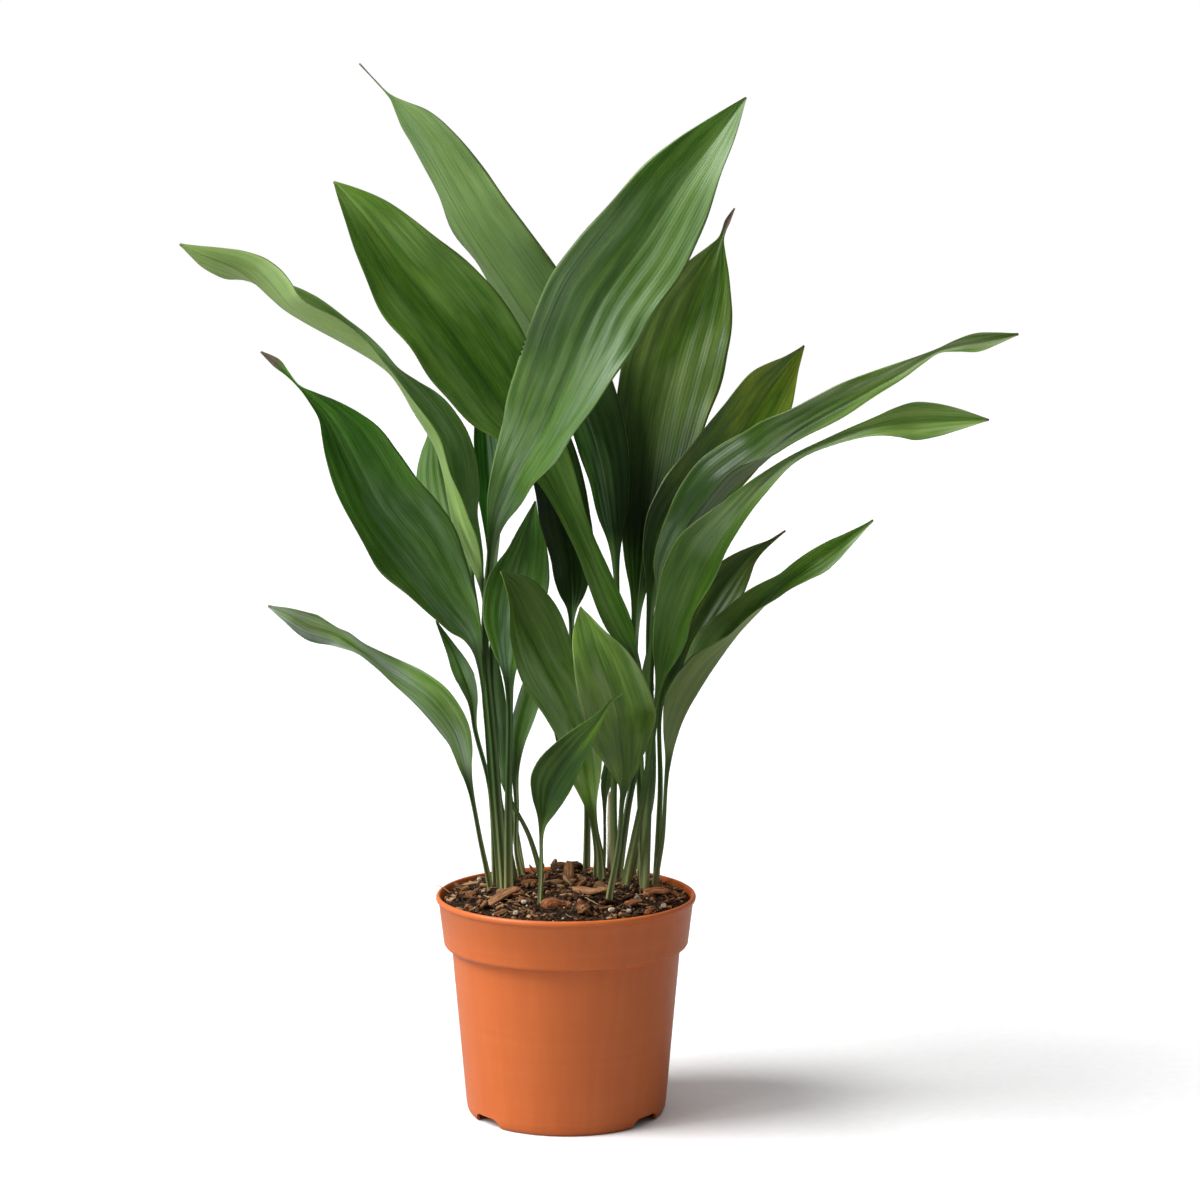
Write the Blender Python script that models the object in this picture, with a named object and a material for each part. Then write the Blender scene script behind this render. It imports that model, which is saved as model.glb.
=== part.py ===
"""Potted cast iron plant (Aspidistra) in a 17 cm nursery pot.

Every leaf is one grown piece (stalk and blade).  Lengths in the tables are millimetres, angles are
degrees.  +Z is up, the front of the plant faces -Y and the pot stands on z = 0.  The tables are measured
from the pot's axis, which stands at POT_AXIS so that the origin is under the middle of the whole plant.
"""
import bmesh
import bpy
import numpy as np
from math import copysign, cos, hypot, pi, radians, sin
from mathutils import Matrix, Vector

MM = 0.001
POT_AXIS = (-23.0, -24.0)
GAP = 0.4                     # clearance kept between separate pieces
LUMP_GAP = 0.7                # chips and grains lie this far above the soil
FOOT_GAP = 1.3                # a stalk ends this far above the soil under its middle

# ---- pot ---------------------------------------------------------------------------------------
POT_HEIGHT = 145.0
POT_SEGMENTS = 72
# outline of the wall as (radius, height): foot ring, outside, lip, inside, floor top, floor underside
FOOT_OUTSIDE = [(60.9, 0.0), (62.8, 0.0), (64.5, 1.2), (65.4, 3.6), (65.9, 7.5)]
SHOULDER_OUTSIDE = [(74.7, 107.3), (75.1, 109.6), (76.4, 110.8), (78.5, 111.4), (79.7, 112.4), (80.1, 114.3)]
LIP = [(83.4, 140.6), (84.3, 141.2), (85.0, 142.2), (85.0, 143.6), (84.4, 144.6), (83.4, POT_HEIGHT),
       (82.6, 144.5), (82.3, 143.4)]
SHOULDER_INSIDE = [(78.6, 115.3), (78.2, 113.6), (77.0, 112.8), (74.4, 112.1), (73.6, 111.0), (73.3, 108.8)]
FLOOR_TOP, FLOOR_UNDER = 9.0, 7.6
FOOT_INSIDE = [(63.9, FLOOR_UNDER), (63.7, 4.6), (62.9, 2.6), (61.7, 1.0)]
NOTCH_ANGLES = (53.0, 127.0, 233.0, 307.0)    # measured from the front, turning to the right
NOTCH_WIDTH, NOTCH_HEIGHT = 26.0, 6.3
DRAIN_COUNT, DRAIN_RING, DRAIN_RADIUS = 8, 40.0, 5.0

# ---- growing medium ----------------------------------------------------------------------------
SOIL_EDGE, SOIL_MOUND = 137.0, 6.5            # height at the wall, and how much the middle rises above it
SOIL_RADIUS = 80.7
SOIL_RINGS, SOIL_SEGMENTS = 8, 48

# ---- leaves ------------------------------------------------------------------------------------
# foot: (x, y) where the stalk leaves the soil; stem: stalk width; fold: how far each half blade is raised;
# stalk: points (x, y, z) on the way to the blade;
# blade: points (x, y, z, full width, turn); turn 0 faces the front, 90 the right side, 180 the back.
LEAVES = {
    "leaf_tall_back": dict(foot=(33, 45), stem=5.0, fold=28, stalk=[(32, 48, 198), (35, 55, 278)], blade=[
        (34, 70, 348, 5, 170), (29, 80, 396, 28, 165), (17, 95, 446, 46, 155), (-25, 115, 517, 70, 140),
        (-65, 130, 576, 68, 135), (-95, 140, 629, 50, 135), (-109, 143, 650, 32, 135), (-119, 145, 666, 4, 135),
        (-140, 150, 689, 1, 135)]),
    "leaf_upper_left": dict(foot=(35, 30), stem=5.0, fold=22, stalk=[(42, 26, 201), (50, 26, 244)], blade=[
        (48, 35, 289, 5, 15), (37, 35, 312, 18, 15), (6, 40, 380, 22, 40), (-13, 40, 418, 42, 50),
        (-43, 40, 462, 70, 35), (-74, 35, 509, 80, 25), (-106, 30, 551, 63, 20), (-132, 25, 587, 32, 20),
        (-149, 25, 607, 1, 20)]),
    "leaf_front_tall": dict(foot=(-40, 0), stem=5.5, fold=16, stalk=[(-47, -2, 247), (-52, -5, 313)], blade=[
        (-49, -10, 361, 5, 15), (-43, -20, 395, 16, 0), (-28, -25, 426, 42, -40), (-14, -30, 450, 66, -45),
        (5, -40, 493, 68, -25), (22, -45, 532, 70, -5), (47, -45, 566, 66, -5), (72, -45, 604, 50, -10),
        (95, -40, 634, 26, -20), (113, -35, 658, 1, -20)]),
    "leaf_back_right": dict(foot=(52, 24), stem=6.0, fold=12, stalk=[(49, 38, 227)], blade=[
        (46, 60, 294, 5, 0), (49, 83, 335, 14, 0), (54, 95, 381, 36, -10), (66, 115, 454, 66, -5),
        (78, 125, 498, 69, -5), (89, 130, 529, 54, 5), (100, 135, 554, 25, 5), (107, 140, 571, 4, 5),
        (111, 140, 582, 4, 5), (116, 140, 591, 1, 5)]),
    "leaf_right_upright": dict(foot=(50, 38), stem=5.0, fold=16, stalk=[(56, 54, 236)], blade=[
        (56, 66, 311, 5, 0), (60, 74, 347, 16, 0), (69, 82, 377, 36, 0), (91, 90, 407, 46, 5),
        (120, 100, 442, 48, 10), (139, 112, 469, 38, 15), (153, 120, 486, 16, 20), (163, 122, 498, 1, 20)]),
    "leaf_right_long": dict(foot=(51, 10), stem=6.0, fold=34, stalk=[(54, 15, 230), (55, 15, 297)], blade=[
        (60, 10, 335, 5, -65), (69, 10, 358, 30, -65), (83, 10, 378, 54, -70), (103, 0, 407, 66, -75),
        (123, -5, 425, 58, -75), (150, -15, 448, 32, -45), (181, -25, 467, 28, -40), (215, -30, 487, 14, -35),
        (235, -35, 500, 4, -15), (259, -40, 506, 14, 0), (284, -45, 511, 1, 0)]),
    "leaf_right_arching": dict(foot=(39, 12), stem=5.5, fold=24, stalk=[(51, -4, 215)], blade=[
        (59, -10, 274, 5, -45), (68, -25, 312, 28, -45), (79, -35, 342, 52, -55), (91, -45, 369, 54, -55),
        (108, -50, 397, 28, -50), (141, -65, 434, 6, 0), (194, -80, 456, 14, 0), (214, -80, 459, 26, 0),
        (240, -85, 460, 16, -5), (260, -90, 460, 1, -5)]),
    "leaf_right_dark": dict(foot=(60, 30), stem=4.0, fold=20, stalk=[(63, 45, 205)], blade=[
        (64, 60, 260, 4, 0), (74, 70, 282, 16, 0), (88, 75, 308, 28, -10), (106, 85, 336, 32, -10),
        (125, 95, 357, 12, 0), (138, 100, 365, 4, 0), (150, 105, 373, 1, 0)]),
    "leaf_right_low": dict(foot=(58, 20), stem=4.0, fold=38, stalk=[(63, 16, 177)], blade=[
        (66, 10, 224, 5, -100), (75, 5, 257, 32, -100), (84, 0, 276, 52, -100), (97, -5, 298, 56, -90),
        (111, -10, 318, 38, -70), (126, -15, 335, 30, -65), (142, -20, 352, 16, -25), (162, -30, 369, 22, 5),
        (178, -30, 380, 12, 5), (195, -35, 393, 1, 5)]),
    "leaf_left_long": dict(foot=(-39, 20), stem=5.0, fold=36, stalk=[(-50, 12, 244)], blade=[
        (-53, 5, 344, 5, 85), (-71, 0, 382, 52, 85), (-77, -5, 413, 54, 75), (-82, -10, 436, 50, 65),
        (-96, -20, 461, 44, 70), (-110, -25, 485, 14, 70), (-130, -30, 500, 34, 85), (-154, -40, 514, 48, 85),
        (-175, -45, 527, 48, 90), (-190, -50, 541, 36, 125), (-204, -55, 552, 26, 170), (-223, -60, 560, 16, 185),
        (-238, -60, 567, 1, 185)]),
    "leaf_left_broad": dict(foot=(-43, 8), stem=5.0, fold=18, stalk=[(-49, 5, 222)], blade=[
        (-55, -5, 294, 5, -20), (-60, -10, 317, 16, -20), (-73, -15, 337, 34, 20), (-96, -20, 372, 60, 25),
        (-118, -30, 402, 60, 30), (-139, -35, 444, 44, 35), (-151, -35, 462, 21, 40), (-168, -40, 479, 1.5, 20),
        (-181, -40, 493, 6, 0), (-191, -40, 500, 1, 0)]),
    "leaf_left_low": dict(foot=(-50, 10), stem=3.5, fold=26, stalk=[(-56, 5, 179)], blade=[
        (-61, 0, 208, 4, 15), (-66, -5, 231, 12, 15), (-71, -10, 251, 20, 30), (-87, -20, 276, 26, 25),
        (-111, -25, 294, 20, 40), (-133, -35, 312, 10, 35), (-147, -35, 321, 16, -20), (-162, -40, 327, 20, 0),
        (-174, -45, 334, 12, -5), (-188, -45, 340, 1, -5)]),
    "leaf_centre": dict(foot=(-37, -10), stem=5.5, fold=16, stalk=[(-37, -14, 208)], blade=[
        (-36, -18, 272, 5, 15), (-37, -20, 301, 16, 15), (-35, -25, 331, 38, 5), (-31, -30, 357, 42, 15),
        (-26, -35, 377, 30, 30), (-22, -40, 393, 12, 20), (-19, -40, 406, 1, 20)]),
    "leaf_front_left": dict(foot=(24, 30), stem=4.5, fold=20, stalk=[(23, 25, 165)], blade=[
        (20, 20, 180, 4, -20), (15, 5, 212, 16, -20), (4, -25, 262, 36, 35), (-13, -50, 301, 40, 15),
        (-26, -60, 330, 50, 45), (-34, -70, 352, 32, 60), (-40, -75, 365, 1, 60)]),
    "leaf_front_right": dict(foot=(28, -35), stem=4.0, fold=16, stalk=[(34, -37, 184)], blade=[
        (36, -40, 213, 4, 20), (37, -50, 233, 16, 20), (35, -65, 257, 40, 30), (32, -80, 278, 48, 5),
        (26, -90, 299, 44, 5), (19, -100, 320, 32, 0), (14, -105, 335, 20, -25), (9, -110, 347, 1, -25)]),
    "leaf_front_small": dict(foot=(-17, -38), stem=3.0, fold=20, stalk=[(-16, -40, 169)], blade=[
        (-16, -40, 189, 3, -30), (-13, -50, 208, 14, -30), (-9, -60, 226, 30, -30), (-2, -70, 239, 32, -30),
        (9, -88, 258, 22, -35), (21, -104, 277, 8, -40), (28, -110, 289, 2, -40), (34, -114, 294, 2, -40)]),
    "leaf_back_dark": dict(foot=(14, 62), stem=4.5, fold=16, stalk=[(14, 68, 201), (6, 76, 268)], blade=[
        (4, 85, 312, 4, 10), (4, 90, 328, 16, 10), (2, 95, 354, 36, 35), (-4, 100, 381, 46, 40),
        (-12, 110, 421, 44, 35), (-17, 120, 454, 20, 15), (-21, 125, 475, 1, 15)]),
    "leaf_left_small": dict(foot=(-47, 20), stem=3.5, fold=20, stalk=[(-50, 22, 210)], blade=[
        (-60, 25, 251, 4, 20), (-62, 30, 268, 10, 20), (-66, 30, 281, 14, 15), (-74, 35, 300, 10, -25),
        (-86, 40, 320, 1, -25)]),
    "leaf_left_pale": dict(foot=(-35, 30), stem=4.5, fold=16, stalk=[(-51, 35, 241), (-56, 45, 299)], blade=[
        (-62, 60, 338, 5, 180), (-71, 70, 363, 24, 180), (-79, 80, 389, 36, 190), (-85, 90, 416, 32, 190),
        (-87, 95, 439, 16, 160), (-88, 100, 455, 1, 160)]),
    "leaf_left_dark": dict(foot=(-30, 56), stem=4.5, fold=16, stalk=[(-44, 64, 239)], blade=[
        (-49, 74, 330, 5, 0), (-49, 80, 370, 12, 0), (-51, 90, 403, 18, -10), (-53, 95, 429, 18, 0),
        (-55, 100, 453, 12, 0), (-55, 105, 473, 1, 0)]),
    "leaf_mid_pale": dict(foot=(-30, 42), stem=4.0, fold=18, stalk=[(-33, 42, 165)], blade=[
        (-33, 45, 196, 4, 0), (-34, 50, 218, 8, 0), (-33, 50, 238, 14, 15), (-27, 55, 261, 18, 25),
        (-19, 60, 285, 12, 10), (-12, 60, 304, 1, 10)]),
    "leaf_mid_dark": dict(foot=(-17, 30), stem=3.5, fold=18, stalk=[(-25, 32, 177)], blade=[
        (-38, 35, 202, 3, -40), (-42, 40, 219, 10, -40), (-45, 45, 246, 14, -10), (-48, 50, 272, 14, 15),
        (-49, 55, 295, 6, 20), (-50, 55, 310, 1, 20)]),
    "leaf_young_centre": dict(foot=(20, 40), stem=3.5, fold=18, stalk=[(20, 42, 165)], blade=[
        (15, 45, 195, 4, 0), (8, 50, 218, 12, 0), (1, 50, 238, 16, 10), (-4, 50, 255, 12, 10),
        (-7, 55, 271, 1, 10)]),
    "leaf_young_upright": dict(foot=(25, 56), stem=2.5, fold=18, stalk=[(26, 56, 161)], blade=[
        (26, 56, 186, 2.5, 0), (26, 56, 200, 6, 0), (27, 56, 211, 10, 25), (28, 56, 228, 1, 25)]),
    "leaf_young_right": dict(foot=(45, 55), stem=3.5, fold=18, stalk=[(58, 62, 195)], blade=[
        (59, 68, 239, 3, 0), (57, 72, 258, 8, 0), (55, 76, 278, 8, 0), (57, 80, 300, 1, 0)]),
}
STALK_FOLD = 35
STALK_STATIONS = 5            # cross-sections between two stalk points of the longest stalks
ACROSS = (-1.0, -0.5, 0.0, 0.5, 1.0)
BLADE_THICKNESS, TIP_THICKNESS = 1.3, 0.8

# linear colour and roughness of each kind of piece
FINISHES = {
    "terracotta_plastic": ((0.58, 0.13, 0.042), 0.45),
    "dark_soil": ((0.030, 0.017, 0.010), 0.95),
    "leaf_green": ((0.035, 0.105, 0.016), 0.32),
    "dry_sheath": ((0.42, 0.33, 0.18), 0.7),
    "bark": ((0.13, 0.055, 0.026), 0.85),
    "perlite": ((0.75, 0.72, 0.66), 0.9),
}

# ---- loose pieces on the soil ------------------------------------------------------------------
# name: (x, y, length, width, thickness, heading, tilt up at the far end)
CHIPS = {
    "bark_long": (-40, -24, 34, 9, 4, 50, 12),
    "bark_pink": (16, -21, 30, 9, 4, -48, 8),
    "bark_round_front": (-8, -50, 14, 12, 7, 20, 0),
    "bark_red_right": (59, -4, 17, 11, 5, 8, 0),
    "bark_black_back": (0, 64, 20, 12, 7, 10, 0),
    "bark_grey_upright": (2, 27, 14, 7, 4, 80, 55),
    "bark_brown_front": (11, -57, 11, 10, 6, 60, 0),
    "bark_red_left": (-24, 12, 12, 9, 4, -20, 6),
    "bark_fibrous": (-8, 8, 15, 8, 4, 15, 5),
    "bark_small_back": (-8, 72, 10, 5, 4, 80, 50),
    "bark_left_edge": (-62, -8, 12, 8, 4, 75, 0),
    "bark_right_front": (44, -40, 12, 8, 4, 35, 4),
    "straw_left": (-61, 30, 22, 4, 2, 20, 2),
}
# name: (x, y, size)
GRAINS = {
    "perlite_1": (-27, -40, 5), "perlite_2": (-32, -60, 4.5), "perlite_3": (29, -56, 5),
    "perlite_4": (40, -55, 4), "perlite_5": (46, -22, 4.5), "perlite_6": (63, -38, 4.5),
    "perlite_7": (-54, -2, 4), "perlite_8": (-58, 44, 4.5),
}
# dried sheath stub standing at the back: (x, y) at the soil, points (x, y, z, width)
STUB = dict(foot=(31, 68), points=[(30, 68, 165, 5), (29, 68, 186, 4.5), (28, 68, 199, 2)])


def material(name):
    """Principled material of one kind of piece."""
    colour, roughness = FINISHES[name]
    mat = bpy.data.materials.get(name)
    if mat is None:
        mat = bpy.data.materials.new(name)
        mat.use_nodes = True
        shader = mat.node_tree.nodes["Principled BSDF"]
        shader.inputs["Base Color"].default_value = (*colour, 1.0)
        shader.inputs["Roughness"].default_value = roughness
        shader.inputs["Metallic"].default_value = 0.0
    return mat


def place(bm, name, finish, parent, at=(0, 0, 0)):
    """Turn a bmesh in millimetres into a named, smooth-shaded object standing at a point."""
    bmesh.ops.recalc_face_normals(bm, faces=bm.faces)
    bmesh.ops.scale(bm, vec=(MM, MM, MM), verts=bm.verts)
    mesh = bpy.data.meshes.new(name)
    bm.to_mesh(mesh)
    bm.free()
    mesh.shade_smooth()
    mesh.set_sharp_from_angle(angle=radians(50))
    mesh.materials.append(material(finish))
    obj = bpy.data.objects.new(name, mesh)
    bpy.context.scene.collection.objects.link(obj)
    obj.parent = parent
    obj.location = [c * MM for c in at]
    return obj


def ring_body(rings):
    """bmesh skin over equal rings of points; each end is closed by a fan around its middle.

    The first half of a ring is the upper face and the rest the under face.  Both are split along the same
    diagonals, so that a thin twisted leaf keeps its thickness.
    """
    bm = bmesh.new()
    loops = [[bm.verts.new(tuple(float(c) for c in p)) for p in ring] for ring in rings]
    n = len(loops[0])
    for low, high in zip(loops, loops[1:]):
        for k in range(n):
            m = (k + 1) % n
            if k < n // 2:
                bm.faces.new((low[k], low[m], high[m]))
                bm.faces.new((low[k], high[m], high[k]))
            else:
                bm.faces.new((low[k], low[m], high[k]))
                bm.faces.new((low[m], high[m], high[k]))
    for loop in (loops[0], loops[-1]):
        hub = bm.verts.new(sum((v.co for v in loop), Vector()) / n)
        for k in range(n):
            bm.faces.new((hub, loop[k], loop[(k + 1) % n]))
    return bm


def helper(obj):
    """Mark a cutter so that it is only a guide."""
    obj.hide_render = True
    obj.display_type = "WIRE"
    return obj


def subtract(obj, tool):
    mod = obj.modifiers.new("cut by " + tool.name, "BOOLEAN")
    mod.operation = "DIFFERENCE"
    mod.solver = "EXACT"
    mod.object = tool


def notch_cutter(number, angle, parent):
    """Low arch with sloping flanks, extruded across the foot ring."""
    half = NOTCH_WIDTH / 2
    arch = [(-half, -1.0), (half, -1.0), (half, 0.0), (half - 1.6, 3.4), (half - 4.6, 5.6),
            (half - 8.0, NOTCH_HEIGHT), (8.0 - half, NOTCH_HEIGHT), (4.6 - half, 5.6), (1.6 - half, 3.4),
            (-half, 0.0)]
    bm = bmesh.new()
    face = bm.faces.new([bm.verts.new((54.0, side, z)) for side, z in arch])
    extruded = bmesh.ops.extrude_face_region(bm, geom=[face])["geom"]
    moved = [v for v in extruded if isinstance(v, bmesh.types.BMVert)]
    bmesh.ops.translate(bm, vec=(18.0, 0.0, 0.0), verts=moved)
    tool = place(bm, "notch_cutter_%d" % number, "terracotta_plastic", parent)
    tool.rotation_euler.z = radians(angle - 90)
    return helper(tool)


def drain_cutter(number, parent):
    a = 2 * pi * (number + 0.5) / DRAIN_COUNT
    bm = bmesh.new()
    bmesh.ops.create_cone(bm, cap_ends=True, segments=16, radius1=DRAIN_RADIUS, radius2=DRAIN_RADIUS, depth=6.0)
    centre = (DRAIN_RING * cos(a), DRAIN_RING * sin(a), (FLOOR_TOP + FLOOR_UNDER) / 2)
    return helper(place(bm, "drain_cutter_%d" % number, "terracotta_plastic", parent, centre))


def build_pot(parent):
    """Half section turned around the axis, then notched at the foot and drilled through the floor."""
    inside = [(64.6, FLOOR_TOP + 1.2), (64.0, FLOOR_TOP), (0, FLOOR_TOP)]
    outline = FOOT_OUTSIDE + SHOULDER_OUTSIDE + LIP + SHOULDER_INSIDE + inside + [(0, FLOOR_UNDER)] + FOOT_INSIDE
    bm = bmesh.new()
    points = [bm.verts.new((r * MM, 0.0, z * MM)) for r, z in reversed(outline)]
    for a, b in zip(points, points[1:] + points[:1]):
        if a.co.x > 0 or b.co.x > 0:
            bm.edges.new((a, b))
    mesh = bpy.data.meshes.new("pot")
    bm.to_mesh(mesh)
    bm.free()
    mesh.materials.append(material("terracotta_plastic"))
    pot = bpy.data.objects.new("pot", mesh)
    bpy.context.scene.collection.objects.link(pot)
    pot.parent = parent
    turn = pot.modifiers.new("turn", "SCREW")
    turn.steps = turn.render_steps = POT_SEGMENTS
    turn.use_merge_vertices = True
    turn.merge_threshold = 0.00001
    turn.use_smooth_shade = True
    for number, angle in enumerate(NOTCH_ANGLES):
        subtract(pot, notch_cutter(number, angle, parent))
    for number in range(DRAIN_COUNT):
        subtract(pot, drain_cutter(number, parent))
    return pot


def soil_height(x, y):
    """Height of the soil surface in millimetres."""
    r = hypot(x, y)
    bumps = 0.7 * sin(0.16 * x + 1.0) * cos(0.13 * y) + 0.5 * sin(0.31 * y + 0.22 * x)
    fade = max(0.0, 1.0 - (r / SOIL_RADIUS) ** 4)
    return SOIL_EDGE + SOIL_MOUND * (1.0 - min(1.0, (r / SOIL_RADIUS) ** 2)) + bumps * fade


def build_soil(parent):
    """Root ball that fills the pot, with a mounded top."""
    outline = [(SOIL_RADIUS * k / SOIL_RINGS, None) for k in range(1, SOIL_RINGS + 1)]
    outline += [(77.6, 115.8), (77.0, 114.2), (73.7, 113.4), (72.3, 111.4), (63.6, 10.6)]
    rings = []
    for radius, z in outline:
        ring = []
        for k in range(SOIL_SEGMENTS):
            a = 2 * pi * k / SOIL_SEGMENTS
            x, y = radius * cos(a), radius * sin(a)
            ring.append((x, y, soil_height(x, y) if z is None else z))
        rings.append(ring)
    return place(ring_body(rings), "soil", "dark_soil", parent)


def smooth_curve(rows, per_gap):
    """Rows of numbers joined by a smooth curve (cubic Hermite); per_gap samples in each gap."""
    p = np.array(rows, float)
    t = np.concatenate([[0.0], np.cumsum(np.sqrt(np.linalg.norm(np.diff(p[:, :3], axis=0), axis=1)))])
    m = np.zeros_like(p)
    m[0] = (p[1] - p[0]) / (t[1] - t[0])
    m[-1] = (p[-1] - p[-2]) / (t[-1] - t[-2])
    for i in range(1, len(p) - 1):
        before, after = t[i] - t[i - 1], t[i + 1] - t[i]
        m[i] = ((p[i] - p[i - 1]) / before * after + (p[i + 1] - p[i]) / after * before) / (before + after)
    out = []
    for i in range(len(p) - 1):
        h = t[i + 1] - t[i]
        for k in range(per_gap[i]):
            u = k / per_gap[i]
            out.append((2 * u**3 - 3 * u**2 + 1) * p[i] + (u**3 - 2 * u**2 + u) * h * m[i]
                       + (-2 * u**3 + 3 * u**2) * p[i + 1] + (u**3 - u**2) * h * m[i + 1])
    out.append(p[-1])
    return np.array(out)


def section_axes(curve):
    """Directions across the leaf and out of its upper face, at every sample of its curve."""
    along = np.gradient(curve[:, :3], axis=0)
    along /= np.linalg.norm(along, axis=1)[:, None]
    flat = np.cross(np.array([0.0, 1.0, 0.0]), along)
    flat /= np.linalg.norm(flat, axis=1)[:, None]
    turn = np.radians(curve[:, 4])[:, None]
    across = np.cos(turn) * flat + np.sin(turn) * np.cross(along, flat)
    return across, np.cross(across, along)


def leaf_section(centre, across, upper, width, fold, thick):
    """Eight points: five over the upper face from margin to margin, three back under the middle."""
    half = max(width / 2, 0.3)
    lift, reach = half * sin(radians(fold)), half * cos(radians(fold))
    top = [centre + across * (s * reach) + upper * (abs(s) ** 1.25 * lift) for s in ACROSS]
    under = [top[i] - upper * (thick * (1.0 - 0.5 * ACROSS[i] ** 2)) for i in (3, 2, 1)]
    return top + under


def build_leaf(name, leaf, parent):
    """One grown leaf; its object stands at the foot of the stalk."""
    stem, fold = leaf["stem"], leaf["fold"]
    fx, fy = leaf["foot"]
    first_turn = leaf["blade"][0][4]
    ground = soil_height(fx, fy) + FOOT_GAP
    stalk = [(fx, fy, ground), (fx, fy, ground + 5)] + leaf["stalk"]
    rows = []
    for i, (x, y, z) in enumerate(stalk):
        wide = stem * (1.3 if i < 2 else 1.0)
        rows.append((x, y, z, wide, first_turn, STALK_FOLD, 0.75 * wide))
    last = len(leaf["blade"]) - 1
    for i, (x, y, z, width, turn) in enumerate(leaf["blade"]):
        if i == 0:
            rows.append((x, y, z, width, turn, STALK_FOLD, 0.7 * stem))
        else:
            thick = BLADE_THICKNESS + (TIP_THICKNESS - BLADE_THICKNESS) * i / last
            rows.append((x, y, z, width, turn, fold, thick))
    gaps = [1] + [STALK_STATIONS - len(leaf["stalk"])] * (len(stalk) - 1) + [2] * last
    curve = smooth_curve(rows, gaps)
    across, upper = section_axes(curve)
    foot = np.array([fx, fy, ground])
    rings = [leaf_section(c[:3] - foot, a, u, c[3], c[5], c[6]) for c, a, u in zip(curve, across, upper)]
    return place(ring_body(rings), name, "leaf_green", parent, foot)


def build_stub(parent):
    """Dried sheath, a flattened stalk that narrows to its broken tip."""
    fx, fy = STUB["foot"]
    foot = np.array([fx, fy, soil_height(fx, fy) + FOOT_GAP])
    rings = []
    for x, y, z, width in [(*foot, 6.0)] + STUB["points"]:
        turn = [2 * pi * k / 8 for k in range(8)]
        rings.append([np.array([x + width / 2 * cos(a), y + width / 3 * sin(a), z]) - foot for a in turn])
    return place(ring_body(rings), "dried_stub", "dry_sheath", parent, foot)


def lump(name, finish, parent, x, y, size, heading, tilt, detail):
    """Uneven rounded piece that lies on the soil, longest along its heading."""
    bm = bmesh.new()
    bmesh.ops.create_icosphere(bm, subdivisions=detail, radius=0.5)
    seed = x * 0.7 + y * 1.3
    for k, v in enumerate(bm.verts):
        v.co *= 1.0 + 0.10 * sin(seed + 2.3 * k)
        v.co.x = 0.5 * copysign(abs(2 * v.co.x) ** 0.8, v.co.x)
    turn = Matrix.Rotation(radians(heading), 3, "Z") @ Matrix.Rotation(-radians(tilt), 3, "Y")
    bmesh.ops.scale(bm, vec=size, verts=bm.verts)
    lowest = min((turn @ v.co).z - soil_height(x + (turn @ v.co).x, y + (turn @ v.co).y) for v in bm.verts)
    obj = place(bm, name, finish, parent, (x, y, LUMP_GAP - lowest))
    obj.rotation_euler = turn.to_euler()
    return obj


def build():
    for old in list(bpy.data.objects):
        bpy.data.objects.remove(old)
    axis = bpy.data.objects.new("pot_axis", None)
    axis.location = (POT_AXIS[0] * MM, POT_AXIS[1] * MM, 0.0)
    bpy.context.scene.collection.objects.link(axis)
    build_pot(axis)
    build_soil(axis)
    for name, leaf in LEAVES.items():
        build_leaf(name, leaf, axis)
    build_stub(axis)
    for name, (x, y, length, width, thick, heading, tilt) in CHIPS.items():
        lump(name, "bark", axis, x, y, (length, width, thick), heading, tilt, 2)
    for name, (x, y, size) in GRAINS.items():
        lump(name, "perlite", axis, x, y, (size, 0.85 * size, 0.8 * size), 35, 0, 1)


build()
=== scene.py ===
"""Looks of the potted cast iron plant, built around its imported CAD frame.

The leaves are rebuilt as fine blades over the sections of the CAD leaves, the pot is turned again with more
segments, and the growing medium gets its bark, crumbs, grit and fibres.  Lengths are metres unless a name
ends in _MM.
"""

from math import cos, pi, radians, sin

import bmesh
import bpy
import numpy as np
from mathutils import Matrix, Vector, noise as perlin


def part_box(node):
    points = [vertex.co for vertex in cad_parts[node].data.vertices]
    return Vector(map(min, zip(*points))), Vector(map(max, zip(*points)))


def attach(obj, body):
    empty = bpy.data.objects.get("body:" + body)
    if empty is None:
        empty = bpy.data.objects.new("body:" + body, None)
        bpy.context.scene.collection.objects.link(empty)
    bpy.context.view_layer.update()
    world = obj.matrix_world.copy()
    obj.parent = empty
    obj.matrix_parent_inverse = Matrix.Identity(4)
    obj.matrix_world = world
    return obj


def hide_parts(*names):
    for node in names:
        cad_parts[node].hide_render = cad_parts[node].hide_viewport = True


MM = 0.001
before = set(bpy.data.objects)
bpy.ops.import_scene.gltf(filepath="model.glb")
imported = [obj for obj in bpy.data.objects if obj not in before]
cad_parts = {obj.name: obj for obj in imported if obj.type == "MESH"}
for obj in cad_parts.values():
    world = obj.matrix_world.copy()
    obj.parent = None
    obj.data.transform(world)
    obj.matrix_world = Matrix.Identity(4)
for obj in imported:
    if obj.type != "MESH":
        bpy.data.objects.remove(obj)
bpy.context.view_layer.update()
POT_LOW, POT_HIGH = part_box("pot")
AXIS = Vector(((POT_LOW.x + POT_HIGH.x) / 2, (POT_LOW.y + POT_HIGH.y) / 2, 0.0))
POT_HEIGHT = POT_HIGH.z
rng = np.random.default_rng(20)


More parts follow.
